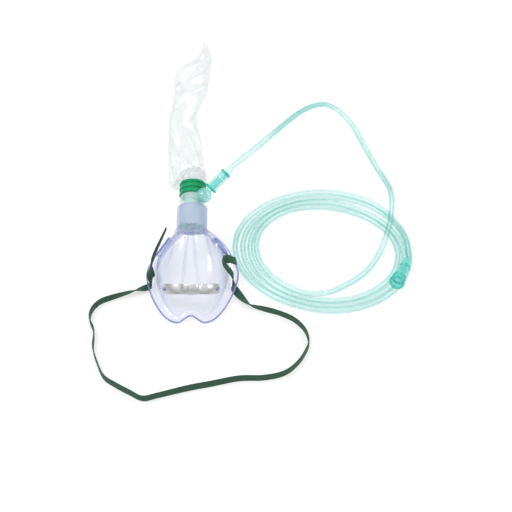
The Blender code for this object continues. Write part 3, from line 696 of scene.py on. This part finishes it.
SILICONE = film(
    "silicone",
    clear=(0.985, 0.988, 0.99), face=srgb(240, 242, 244), edge=srgb(206, 212, 220),
    haze=0.12, edge_haze=0.7, power=3.0, rough=0.15, shine=0.15,
)
COLLAR = collar_plastic()
ELASTIC = elastic()
ALUMINIUM = brushed()


# Camera and light.


def make_stage():
    """A bright table, a world that is grey near the horizon and white above, and three soft lamps."""
    points = [(-3, -3, -0.0002), (3, -3, -0.0002), (3, 3, -0.0002), (-3, 3, -0.0002)]
    floor = new_piece("table_top", points, [(0, 1, 2, 3)], floor_paint())
    world = bpy.data.worlds.new("white_room")
    bpy.context.scene.world = world
    world.use_nodes = True
    tree = world.node_tree
    coordinates = tree.nodes.new("ShaderNodeTexCoord")
    parts = tree.nodes.new("ShaderNodeSeparateXYZ")
    ramp = tree.nodes.new("ShaderNodeValToRGB")
    tree.links.new(coordinates.outputs["Generated"], parts.inputs[0])
    tree.links.new(parts.outputs["Z"], ramp.inputs["Fac"])
    tree.links.new(ramp.outputs["Color"], tree.nodes["Background"].inputs["Color"])
    ramp.color_ramp.elements[0].position = 0.10
    ramp.color_ramp.elements[0].color = (0.30, 0.30, 0.31, 1)
    ramp.color_ramp.elements[1].position = 0.62
    ramp.color_ramp.elements[1].color = (1, 1, 1, 1)
    for name, place, size, power in (
        ("key", (-0.45, -0.25, 0.95), 0.22, 2.6),
        ("back", (0.35, 0.85, 0.75), 0.30, 2.0),
        ("side", (1.0, -0.35, 0.60), 0.22, 1.2),
    ):
        light = bpy.data.lights.new(name, "AREA")
        light.size = size
        light.energy = power
        lamp = bpy.data.objects.new(name, light)
        bpy.context.scene.collection.objects.link(lamp)
        lamp.matrix_world = frame_at(Vector(place), Vector(place) - Vector((0.05, -0.1, 0)))


def make_camera():
    """Straight on from the nose end, looking down by half a right angle and a little more."""
    look_at = Vector((0.060, -0.1205, 0))
    distance, elevation = 1.035, math.radians(50)
    camera = bpy.data.cameras.new("camera")
    camera.lens = 75
    camera.sensor_width = 36
    obj = bpy.data.objects.new("camera", camera)
    bpy.context.scene.collection.objects.link(obj)
    away = Vector((0, -math.cos(elevation), math.sin(elevation)))
    obj.matrix_world = frame_at(look_at + away * distance, away)
    bpy.context.scene.camera = obj
    bpy.context.scene.view_settings.view_transform = "Standard"
    bpy.context.scene.cycles.transparent_max_bounces = 40


# Mask.


def rim_edge(count):
    """Points of the rim's outer edge, from the nose round the +X side."""
    half = [Vector(p) for p in RIM]
    other = [Vector((-p.x, p.y, p.z)) for p in half[-2:0:-1]]
    dense = spline(half + other, 0.0003, closed=True)
    length = length_of(dense + dense[:1])
    return evenly(dense + dense[:1], length / count, closed=True)[:count]


def circle_point(turn, along, radius):
    angle = 2 * math.pi * turn
    out = PORT_UP * math.cos(angle) + Vector((math.sin(angle), 0, 0))
    return PORT_BASE + PORT_AXIS * along + out * radius, out


def inward_at(edge, k):
    """The level direction into the mask at point k of its rim."""
    before, after = edge[k - 3], edge[(k + 3) % len(edge)]
    return Vector((before.y - after.y, after.x - before.x, 0)).normalized()


def mask_point(edge, turn, t):
    """A point of the mask's outer face, t from 0 at the sleeve's base to 1 at the rim's inner edge."""
    k = math.floor(turn * len(edge))
    share = turn * len(edge) - k
    k, after = k % len(edge), (k + 1) % len(edge)
    here = edge[k].lerp(edge[after], share)
    inward = inward_at(edge, k).lerp(inward_at(edge, after), share)
    start, out = circle_point(turn, 0, SLEEVE_RADIUS)
    end = here + inward * by_side(RIM_WIDTH, turn) + Vector((0, 0, RIM_RISE))
    bend = out * by_side(SHOULDER_OUT, turn) - PORT_AXIS * by_side(SHOULDER_BACK, turn)
    high = start + bend * by_side(SHOULDER_REACH, turn)
    low = end + inward * by_side(WALL_LEAN, turn) + Vector((0, 0, by_side(WALL_RISE, turn)))
    s = 1 - t
    point = start * s**3 + high * 3 * s * s * t + low * 3 * s * t * t + end * t**3
    from_nose = min(turn, 1 - turn)
    ridge = 1 - smooth(RIDGE_TURN * 0.6, RIDGE_TURN * 1.25, from_nose)
    groove = 0.4 * math.exp(-(((from_nose - RIDGE_TURN * 2) / (RIDGE_TURN * 0.7)) ** 2))
    panel = 0.7 * smooth(PANEL_TURN - 0.020, PANEL_TURN + 0.012, from_nose) * smooth(0.62, 0.30, t)
    height = RIDGE_HEIGHT * (ridge - groove) * math.sin(math.pi * min(1, 1.15 * t))
    height -= RIDGE_HEIGHT * panel * smooth(0.02, 0.12, t)
    return point + out * height


def mask_normal(edge, turn, t):
    step = 0.004
    along = mask_point(edge, turn, t + step) - mask_point(edge, turn, t - step)
    across = mask_point(edge, (turn + step) % 1, t) - mask_point(edge, (turn - step) % 1, t)
    return along.cross(across).normalized()


def vent_frame(edge, sign):
    turn = VENT_TURN if sign > 0 else 1 - VENT_TURN
    point = mask_point(edge, turn, VENT_DOWN)
    return frame_at(point, mask_normal(edge, turn, VENT_DOWN), Vector((0, 1, 0)))


def make_mask(edge):
    """The shell from the sleeve's mouth to the rim, with its wall, vent holes and strap slots."""
    rows = []
    for along in SLEEVE_ROWS:
        at = SLEEVE_LENGTH * along
        rows.append([circle_point(i / AROUND, at, SLEEVE_RADIUS)[0] for i in range(AROUND)])
    for k in range(1, BODY_ROWS + 1):
        rows.append([mask_point(edge, i / AROUND, k / BODY_ROWS) for i in range(AROUND)])
    inner = rows[-1]
    for share in (0.3, 0.6, 0.85, 1):
        drop = Vector((0, 0, -0.0006 * math.sin(math.pi * share)))
        rows.append([a.lerp(b, share) + drop for a, b in zip(inner, edge)])
    points, faces = skin(rows, caps=False)
    shell = new_piece("mask_body", points, [tuple(reversed(f)) for f in faces], MASK, sharp=60)
    shell.data.materials.append(SLEEVE)
    for face in shell.data.polygons[: (len(SLEEVE_ROWS) - 1) * AROUND]:
        face.material_index = 1
    solid = shell.modifiers.new("Wall", "SOLIDIFY")
    solid.thickness = SHELL
    solid.offset = -1
    solid.use_even_offset = True
    settle(shell)
    cutters = []
    for side, sign in (("left", -1), ("right", 1)):
        at = vent_frame(edge, sign)
        cutters.append(rod(f"vent_cut_{side}", VENT_RADIUS - 0.0010, -0.004, 0.004, at, steps=64))
        centre = Vector((SLOT_CENTRE.x * sign, SLOT_CENTRE.y, SLOT_CENTRE.z))
        cutters.append(box_at(f"slot_cut_{side}", SLOT_SIZE, centre))
    combine(shell, "DIFFERENCE", *cutters)
    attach(shell, "mask")
    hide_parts("mask_shell")
    inset = [p + inward_at(edge, k) * 0.0004 + Vector((0, 0, -0.0006)) for k, p in enumerate(edge)]
    lip = [circle_point(i / 96, SLEEVE_LENGTH - 0.0002, SLEEVE_RADIUS - 0.0002)[0] for i in range(96)]
    chin = [1 - 0.65 * smooth(0.24, 0.36, min(k, AROUND - k) / AROUND) for k in range(AROUND)]
    for name, line, radius, thinned in (
        ("mask_rim_bead", inset, 0.0008, chin),
        ("sleeve_lip", lip, 0.0004, None),
    ):
        edging = tube(name, line, radius, 0, RIM_EDGE, sides=12, closed=True, thinned=thinned)
        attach(edging, "mask")


def make_vent(edge, side, sign):
    """A holed disc with a raised ring and a headed pin, and the thin flap that slides on the pin."""
    at = vent_frame(edge, sign)
    top = VENT_THICKNESS / 2
    pin_top = top + GAP * 2 + FLAP_THICKNESS + FLAP_TRAVEL
    r = VENT_RADIUS
    seat = revolve(
        f"vent_seat_{side}",
        [
            (0, pin_top + 0.0008), (VENT_PIN + 0.0008, pin_top + 0.0008),
            (VENT_PIN + 0.0008, pin_top), (VENT_PIN, pin_top), (VENT_PIN, top), (r - 0.0018, top),
            (r - 0.0016, top + 0.0009), (r, top + 0.0009), (r, -top), (r - 0.0012, -top),
            (r - 0.0014, -top + 0.0014), (0, -top + 0.0014),
        ],
        at,
        MASK,
        edge=0.0003,
    )
    holes = []
    for i in range(VENT_HOLES):
        place = at @ Matrix.Rotation(2 * math.pi * i / VENT_HOLES, 4, "Z")
        place = place @ Matrix.Translation((r * 0.5, 0, 0))
        holes.append(rod(f"hole_{side}_{i}", 0.0019, -0.004, 0.004, place))
    combine(seat, "DIFFERENCE", *holes)
    ring = bead(f"vent_ring_{side}", at, r - 0.0008, top + 0.0008, 0.0009, RIM_EDGE, 12)
    flap_at = at @ Matrix.Translation((0, 0, top + GAP))
    hole = VENT_PIN + GAP
    flap = revolve(
        f"exhale_disc_{side}",
        [(FLAP_RADIUS, FLAP_THICKNESS), (FLAP_RADIUS, 0), (hole, 0), (hole, FLAP_THICKNESS)],
        flap_at,
        SILICONE,
        edge=0.00015,
    )
    for obj in (seat, ring):
        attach(obj, "mask")
    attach(flap, f"exhale_{side}")
    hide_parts(f"exhale_flap_{side}")


def clip_line(edge):
    """Where the nose clip's middle lies on the mask: the wall cut by a plane that leans back."""
    normal = Vector((0, math.sin(CLIP_LEAN), math.cos(CLIP_LEAN)))
    found = []
    for i in range(-60, 61):
        turn = (i / 240) % 1
        near, far = 0.2, 1.0
        for _ in range(24):
            middle = (near + far) / 2
            if (mask_point(edge, turn, middle) - CLIP_NEAR).dot(normal) > 0:
                near = middle
            else:
                far = middle
        found.append((mask_point(edge, turn, near), mask_normal(edge, turn, near)))
    return found


def make_clip(edge):
    """A thin strip bent over the nose ridge, with a peg of the mask near each end."""
    steps = 120
    line = clip_line(edge)
    middle = len(line) // 2
    lengths = [0] * len(line)
    for step in (1, -1):
        i = middle
        while 0 <= i + step < len(line):
            lengths[i + step] = lengths[i] + (line[i + step][0] - line[i][0]).length * step
            i += step
    stations = []
    for k in range(steps + 1):
        want = CLIP_HALF_LENGTH * (2 * k / steps - 1)
        i = max(j for j in range(len(line) - 1) if lengths[j] <= want or j == 0)
        share = (want - lengths[i]) / (lengths[i + 1] - lengths[i])
        point = line[i][0].lerp(line[i + 1][0], share)
        out = line[i][1].lerp(line[i + 1][1], share).normalized()
        crown = CLIP_CROWN * math.exp(-((want / CLIP_CROWN_WIDTH) ** 2))
        stations.append((point + out * crown, out, want))
    rings = []
    for k, (point, out, want) in enumerate(stations):
        before, after = stations[max(k - 1, 0)][0], stations[min(k + 1, steps)][0]
        across = out.cross(after - before).normalized()
        from_end = CLIP_HALF_LENGTH - abs(want)
        half = CLIP_WIDTH / 2
        if from_end < half:
            half = max(math.sqrt(half**2 - (half - from_end) ** 2), 0.0008)
        rings.append(
            [point + out * (CLIP_OFF + CLIP_THICKNESS * z) + across * half * x for x, z in CLIP_SECTION]
        )
    points, faces = skin(rings)
    clip = new_piece("nose_strip", points, faces, ALUMINIUM, sharp=50)
    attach(clip, "mask")
    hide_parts("nose_clip")
    for side, sign in (("left", -1), ("right", 1)):
        want = (CLIP_HALF_LENGTH - PEG_FROM_END) * sign
        point, out, _ = min(stations, key=lambda s: abs(s[2] - want))
        top = CLIP_OFF + CLIP_THICKNESS
        peg = revolve(
            f"clip_peg_{side}",
            [(0, top + 0.0013), (0.0011, top + 0.0011), (0.0017, top + 0.0002), (0.0017, top),
             (PEG_RADIUS, top), (PEG_RADIUS, -0.0008), (0, -0.0008)],
            frame_at(point, out),
            RIM_EDGE,
            steps=32,
            edge=0.0002,
        )
        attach(peg, "mask")


# Valve head.


def on_port(along):
    return frame_at(PORT_BASE + PORT_AXIS * along, PORT_AXIS)


def make_valve_head():
    """The turned body with its side inlet, and what it carries. Returns where the tube enters its cuff."""
    out = PORT_UP * math.sin(BOSS_TURN) + Vector((math.cos(BOSS_TURN), 0, 0))
    root = PORT_BASE + PORT_AXIS * BOSS_ALONG
    boss = root + out * BOSS_OUT
    inlet, nipple = frame_at(root, out), frame_at(boss, CUFF_DIRECTION)
    body = revolve(
        "valve_shell",
        [
            (SPIGOT_RADIUS, SPIGOT_END), (SPIGOT_RADIUS, FLANGE_END), (FLANGE_RADIUS, FLANGE_END),
            (FLANGE_RADIUS, FLANGE_START + 0.0062),
            (FLANGE_RADIUS - 0.0007, FLANGE_START + 0.0056),
            (FLANGE_RADIUS - 0.0007, FLANGE_START + 0.0032),
            (FLANGE_RADIUS, FLANGE_START + 0.0026), (FLANGE_RADIUS, FLANGE_START),
            (PLUG_RADIUS, FLANGE_START), (PLUG_RADIUS - 0.0002, PLUG_START),
            (BODY_BORE, PLUG_START), (BODY_BORE, SEAT_AT), (BODY_BORE - 0.001, SEAT_AT),
            (BODY_BORE - 0.001, SPIGOT_END),
        ],
        on_port(0),
        MINT,
    )
    neck = rod("neck", NECK_RADIUS, FLANGE_RADIUS - 0.0012, BOSS_OUT, inlet, steps=48)
    combine(body, "UNION", neck)
    head = revolve(
        "inlet_boss",
        [
            (0, 0.0062), (0.0030, 0.0062), (0.0060, 0.0040), (BOSS_RADIUS, 0.0015),
            (BOSS_RADIUS, -0.0022), (0.0056, -0.0046), (0.0030, -0.0062), (0, -0.0062),
        ],
        nipple,
        PALE_TEAL,
        steps=64,
        edge=0.0020,
    )
    combine(head, "UNION", rod("spout", NIPPLE_RADIUS, 0.004, NIPPLE_END, nipple, steps=32))
    for obj in (body, head):
        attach(obj, "valve_head")
    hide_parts("valve_body")
    make_collar()
    make_inhale_disc()
    make_mask_end_cuff(nipple)
    return boss + CUFF_DIRECTION * CUFF_END


def make_collar():
    """A ring whose outer face steps between ribs and grooves."""
    low, high = FLANGE_END + GAP, SPIGOT_END
    bore = SPIGOT_RADIUS + GAP
    pitch = (high - low) / (COLLAR_RIBS * 2 - 1)
    outer = []
    for i in range(COLLAR_RIBS * 2 - 1):
        radius = COLLAR_GROOVE if i % 2 else COLLAR_RADIUS
        outer.append((radius, high - i * pitch))
        outer.append((radius, high - (i + 1) * pitch))
    collar = revolve("ribbed_collar", outer + [(bore, low), (bore, high)], on_port(0), COLLAR, edge=0.0009)
    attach(collar, "valve_head")
    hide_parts("bag_collar")


def make_inhale_disc():
    """The thin disc under the seat, and the look of the seat itself, which stays the CAD's."""
    hole, rim = VENT_PIN + GAP, FLAP_RADIUS - 0.0012
    disc = revolve(
        "inhale_disc",
        [(rim, -GAP), (rim, -GAP - FLAP_THICKNESS), (hole, -GAP - FLAP_THICKNESS), (hole, -GAP)],
        on_port(SEAT_AT - SEAT_THICKNESS - GAP),
        SILICONE,
        edge=0.00015,
    )
    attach(disc, "inhale")
    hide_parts("inhale_flap")
    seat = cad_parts["valve_seat"]
    seat.data.materials.clear()
    seat.data.materials.append(MINT)


def make_mask_end_cuff(nipple):
    """The tube's push-on cuff: flared and fluted at the nipple, with a ring round its tube end."""
    bore = NIPPLE_RADIUS + GAP
    cuff = revolve(
        "mask_end_grip",
        [
            (CUFF_RADIUS + 0.0002, CUFF_END), (CUFF_RADIUS + 0.0002, CUFF_END - 0.0040),
            (CUFF_RADIUS + 0.0003, CUFF_END - 0.0055),
            (CUFF_RADIUS + 0.0004, CUFF_START + 0.0040),
            (CUFF_RADIUS + 0.0009, CUFF_START + 0.0024), (CUFF_RADIUS + 0.0009, CUFF_START),
            (bore, CUFF_START), (bore, CUFF_END),
        ],
        nipple,
        TEAL,
        flutes=(10, 0.0004, CUFF_START + 0.0035, CUFF_END - 0.0045, 0.004),
    )
    made = [
        cuff,
        bead("mask_end_ring", nipple, CUFF_RADIUS + 0.0001, CUFF_END - 0.0014, 0.0009, TEAL_RING, 14, 64),
        bead("mask_end_flare", nipple, CUFF_RADIUS + 0.0009, CUFF_START + 0.0012, 0.0008, TEAL_RING, 14, 64),
    ]
    for obj in made:
        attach(obj, "valve_head")
    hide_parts("mask_end_cuff")


# Bag.


def make_bag():
    """A limp film bag lofted through its sections: two welded sheets, gathered at the neck and creased."""
    across = 112
    line = [Vector(s) for s in BAG_SECTIONS]
    finely = []
    for i in range(len(line) - 1):
        before = line[max(i - 1, 0)]
        after = line[min(i + 2, len(line) - 1)]
        finely += [between(before, line[i], line[i + 1], after, k / 14) for k in range(14)]
    finely.append(line[-1])
    centres = [Vector(s[:3]) for s in finely]
    rings = []
    gone = 0
    total = length_of(centres)
    for k, section in enumerate(finely):
        if k:
            gone += (centres[k] - centres[k - 1]).length
        share = gone / total
        along = PORT_AXIS if k == 0 else centres[min(k + 1, len(centres) - 1)] - centres[k - 1]
        side = Vector((along.y, -along.x, 0)).normalized()
        up = side.cross(along).normalized()
        wave = noise.noise(Vector((gone * 55, 3.1, 0))) + 0.5 * noise.noise(Vector((gone * 150, 8.7, 0)))
        free = smooth(0.02, 0.12, share) * (1 - 0.6 * smooth(0.93, 1, share))
        neck = (1 - smooth(0.03, 0.16, share)) * smooth(0, 0.03, share)
        wide = section[3] * (1 + 0.10 * wave * free)
        thick = section[4]
        ring = []
        for i in range(across):
            angle = 2 * math.pi * i / across
            x, z = math.cos(angle), math.sin(angle)
            lens = math.copysign(abs(z) ** (1 + 0.7 * free), z)
            gather = 0.05 * math.cos(13 * angle + 0.6) * neck
            sheet = 1.7 if z > 0 else 9.3
            place = Vector((x * wide, gone, sheet))
            long_fold = noise.noise(Vector((place.x * 58 + gone * 16, gone * 8, sheet)))
            slant = noise.noise(Vector((place.x * 40 - gone * 30, gone * 12 + place.x * 16, sheet + 4)))
            fold = 1 - 2.6 * abs(long_fold) + 0.8 * (1 - 2.6 * abs(slant))
            fold += 0.05 * noise.noise(place * 160)
            crease = 0.30 * fold * free * (1 - abs(x) ** 3)
            ring.append(
                centres[k]
                + side * wide * x * (1 + gather)
                + up * thick * (lens * (0.80 + gather) + crease * math.copysign(1, z) * abs(z) ** 0.5)
            )
        for p in ring:
            p.z = max(p.z, 0.0003)
        rings.append(ring)
    points, faces = skin(rings)
    bag = new_piece("reservoir_film", points, faces, BAG, sharp=80)
    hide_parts("reservoir_bag")
    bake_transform(bag)


# Tube.


def coil_point(turns):
    """A point of the coil's line, wound clockwise from above, each turn one lane further out. The lanes part
    in two pairs behind and loosen at the left. The last half turn climbs and comes back over the others."""
    lane = math.floor(turns) + smooth(0.66, 0.97, turns - math.floor(turns))
    angle = math.radians(COIL_START) - 2 * math.pi * turns
    c, s = math.cos(angle), math.sin(angle)
    behind = math.exp(-(((math.degrees(angle) % 360 - 62) / 38) ** 2))
    left = max(0, -math.cos(angle - 0.15)) ** 3
    offset = (lane - 1.5) * (COIL_LANE + 0.0007 * left)
    offset += 0.0020 * behind * math.tanh((lane - 1.5) * 2.5)
    offset += 0.0014 * left * smooth(2.2, 3, lane)
    offset += 0.0004 * math.sin(angle * 3 + lane * 1.9)
    climb = smooth(3.24, 3.50, turns)
    offset += climb * -0.0030 + smooth(3.42, 3.72, turns) * -0.0062
    out = Vector((COIL_SHORT * c, COIL_LONG * s, 0)).normalized()
    place = Vector((COIL_LONG * c, COIL_SHORT * s, 0)) + out * offset
    rest = 0.0001 + 0.0008 * (0.5 + 0.5 * math.sin(angle * 3 + math.floor(turns + 0.2) * 2.4))
    place.z = rest * (1 - climb) + climb * COIL_CLIMB
    return Matrix.Rotation(COIL_TURN, 4, "Z") @ place + COIL_CENTRE


def make_tubes(cuff_end):
    """One line from cuff to cuff, cut where the lead meets the rest, which lies still."""
    start = cuff_end - CUFF_DIRECTION * TUBE_IN_CUFF
    coil = [coil_point(COIL_TURNS * i / 90) for i in range(91)]
    base = SUPPLY_MOUTH - SUPPLY_AXIS * (SUPPLY_LENGTH - TUBE_IN_CUFF)
    entry = base - SUPPLY_AXIS * 0.010
    route = [start, cuff_end, *LEAD_ROUTE, *RUN_ROUTE, *coil, *TAIL_ROUTE, entry, base]
    whole = spline(route, CORD_SPACING)
    split = min(range(len(whole)), key=lambda i: (whole[i] - Vector(LEAD_ROUTE[-1])).length)
    lead_line, coil_line = whole[: split + 1], whole[split:]
    lead = tube("tube_lead", lead_line, TUBE_RADIUS, TUBE_BORE, TUBE)
    rest = tube("tube_coil", coil_line, TUBE_RADIUS, TUBE_BORE, TUBE)
    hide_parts("oxygen_tube_lead")
    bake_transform(lead)
    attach(rest, "mask")
    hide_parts("oxygen_tube_run", "oxygen_tube_coil", "oxygen_tube_tail")


def make_supply_cuff():
    """Flared, ringed mouth towards the supply, then a fluted body that narrows to the tube."""
    at = frame_at(SUPPLY_MOUTH - SUPPLY_AXIS * SUPPLY_LENGTH, SUPPLY_AXIS)
    end = SUPPLY_LENGTH
    cuff = revolve(
        "supply_grip",
        [
            (0.0068, end), (0.0069, end - 0.0030), (0.0058, end - 0.0042), (0.0058, end - 0.0068),
            (0.0064, end - 0.0080), (0.0064, end - 0.0105), (0.0053, end - 0.0125),
            (0.0048, 0.0150), (0.0052, 0.0140), (0.0052, 0.0115), (0.0047, 0.0105), (0.0043, 0),
            (0.0030, 0), (0.0030, 0.0200), (0.0034, 0.0210), (0.0040, end - 0.0120),
            (SUPPLY_BORE, end),
        ],
        at,
        TEAL,
        flutes=(12, 0.0005, 0.0150, end - 0.0125, 0.0045),
    )
    made = [
        cuff,
        bead("supply_mouth_ring", at, 0.0062, end - 0.0014, 0.0012, TEAL_RING, 16),
        bead("supply_neck_ring", at, 0.0057, end - 0.0092, 0.0010, TEAL_RING, 16),
        bead("supply_band", at, 0.0048, 0.0128, 0.0007, TEAL_RING, 16),
    ]
    for obj in made:
        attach(obj, "mask")
    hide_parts("supply_cuff")


# Strap.


def make_strap():
    """One elastic with a soft-edged section that leans and twists along its route, and UVs in metres."""
    line = spline(STRAP_ROUTE, CORD_SPACING)
    outline = [(-1, -0.25), (-0.985, -0.8), (-0.93, -1), (-0.6, -0.96), (-0.2, -1), (0.2, -1), (0.6, -0.96),
               (0.93, -1), (0.985, -0.8), (1, -0.25)]
    outline += [(-x, -z) for x, z in outline]
    rings = []
    wide = None
    for k, place in enumerate(line):
        along = (line[min(k + 1, len(line) - 1)].xyz - line[max(k - 1, 0)].xyz).normalized()
        lean = math.radians(min(max(place.w, 0), 90))
        level = Vector((0, 0, 1)).cross(along)
        if level.length < 0.3:
            level = Vector((0, 1, 0))
        level.normalize()
        upright = along.cross(level).normalized()
        new_wide = upright * math.cos(lean) + level * math.sin(lean)
        if abs(along.z) > 0.5:
            new_wide = Vector((0, 1, 0))
        if wide is not None and new_wide.dot(wide) < 0:
            new_wide = -new_wide
        wide = (new_wide - along * new_wide.dot(along)).normalized()
        thick = along.cross(wide).normalized()
        rings.append((place.xyz, wide, thick))
    for _ in range(6):
        eased = []
        for k, (place, wide, thick) in enumerate(rings):
            near = rings[max(k - 1, 0)][1] + wide * 2 + rings[min(k + 1, len(rings) - 1)][1]
            along = thick.cross(wide)
            near = (near - along * near.dot(along)).normalized()
            eased.append((place, near, along.cross(near).normalized()))
        rings = eased
    solid = []
    for place, wide, thick in rings:
        half, deep = wide * STRAP_WIDTH / 2, thick * STRAP_THICKNESS / 2
        solid.append([place + half * x + deep * z for x, z in outline])
    points, faces = skin(solid)
    strap = new_piece("elastic_strap", points, faces, ELASTIC, sharp=75)
    sides = len(outline)
    layer = strap.data.uv_layers.new(name="weave")
    for face in strap.data.polygons:
        for corner in face.loop_indices:
            k, i = divmod(strap.data.loops[corner].vertex_index, sides)
            layer.data[corner].uv = (outline[i][0] * STRAP_WIDTH / 2, k * CORD_SPACING)
    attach(strap, "mask")
    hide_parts("head_strap")


make_stage()
make_camera()
EDGE = rim_edge(AROUND)
make_mask(EDGE)
make_vent(EDGE, "left", -1)
make_vent(EDGE, "right", 1)
make_clip(EDGE)
CUFF_MOUTH = make_valve_head()
make_supply_cuff()
make_tubes(CUFF_MOUTH)
make_bag()
make_strap()
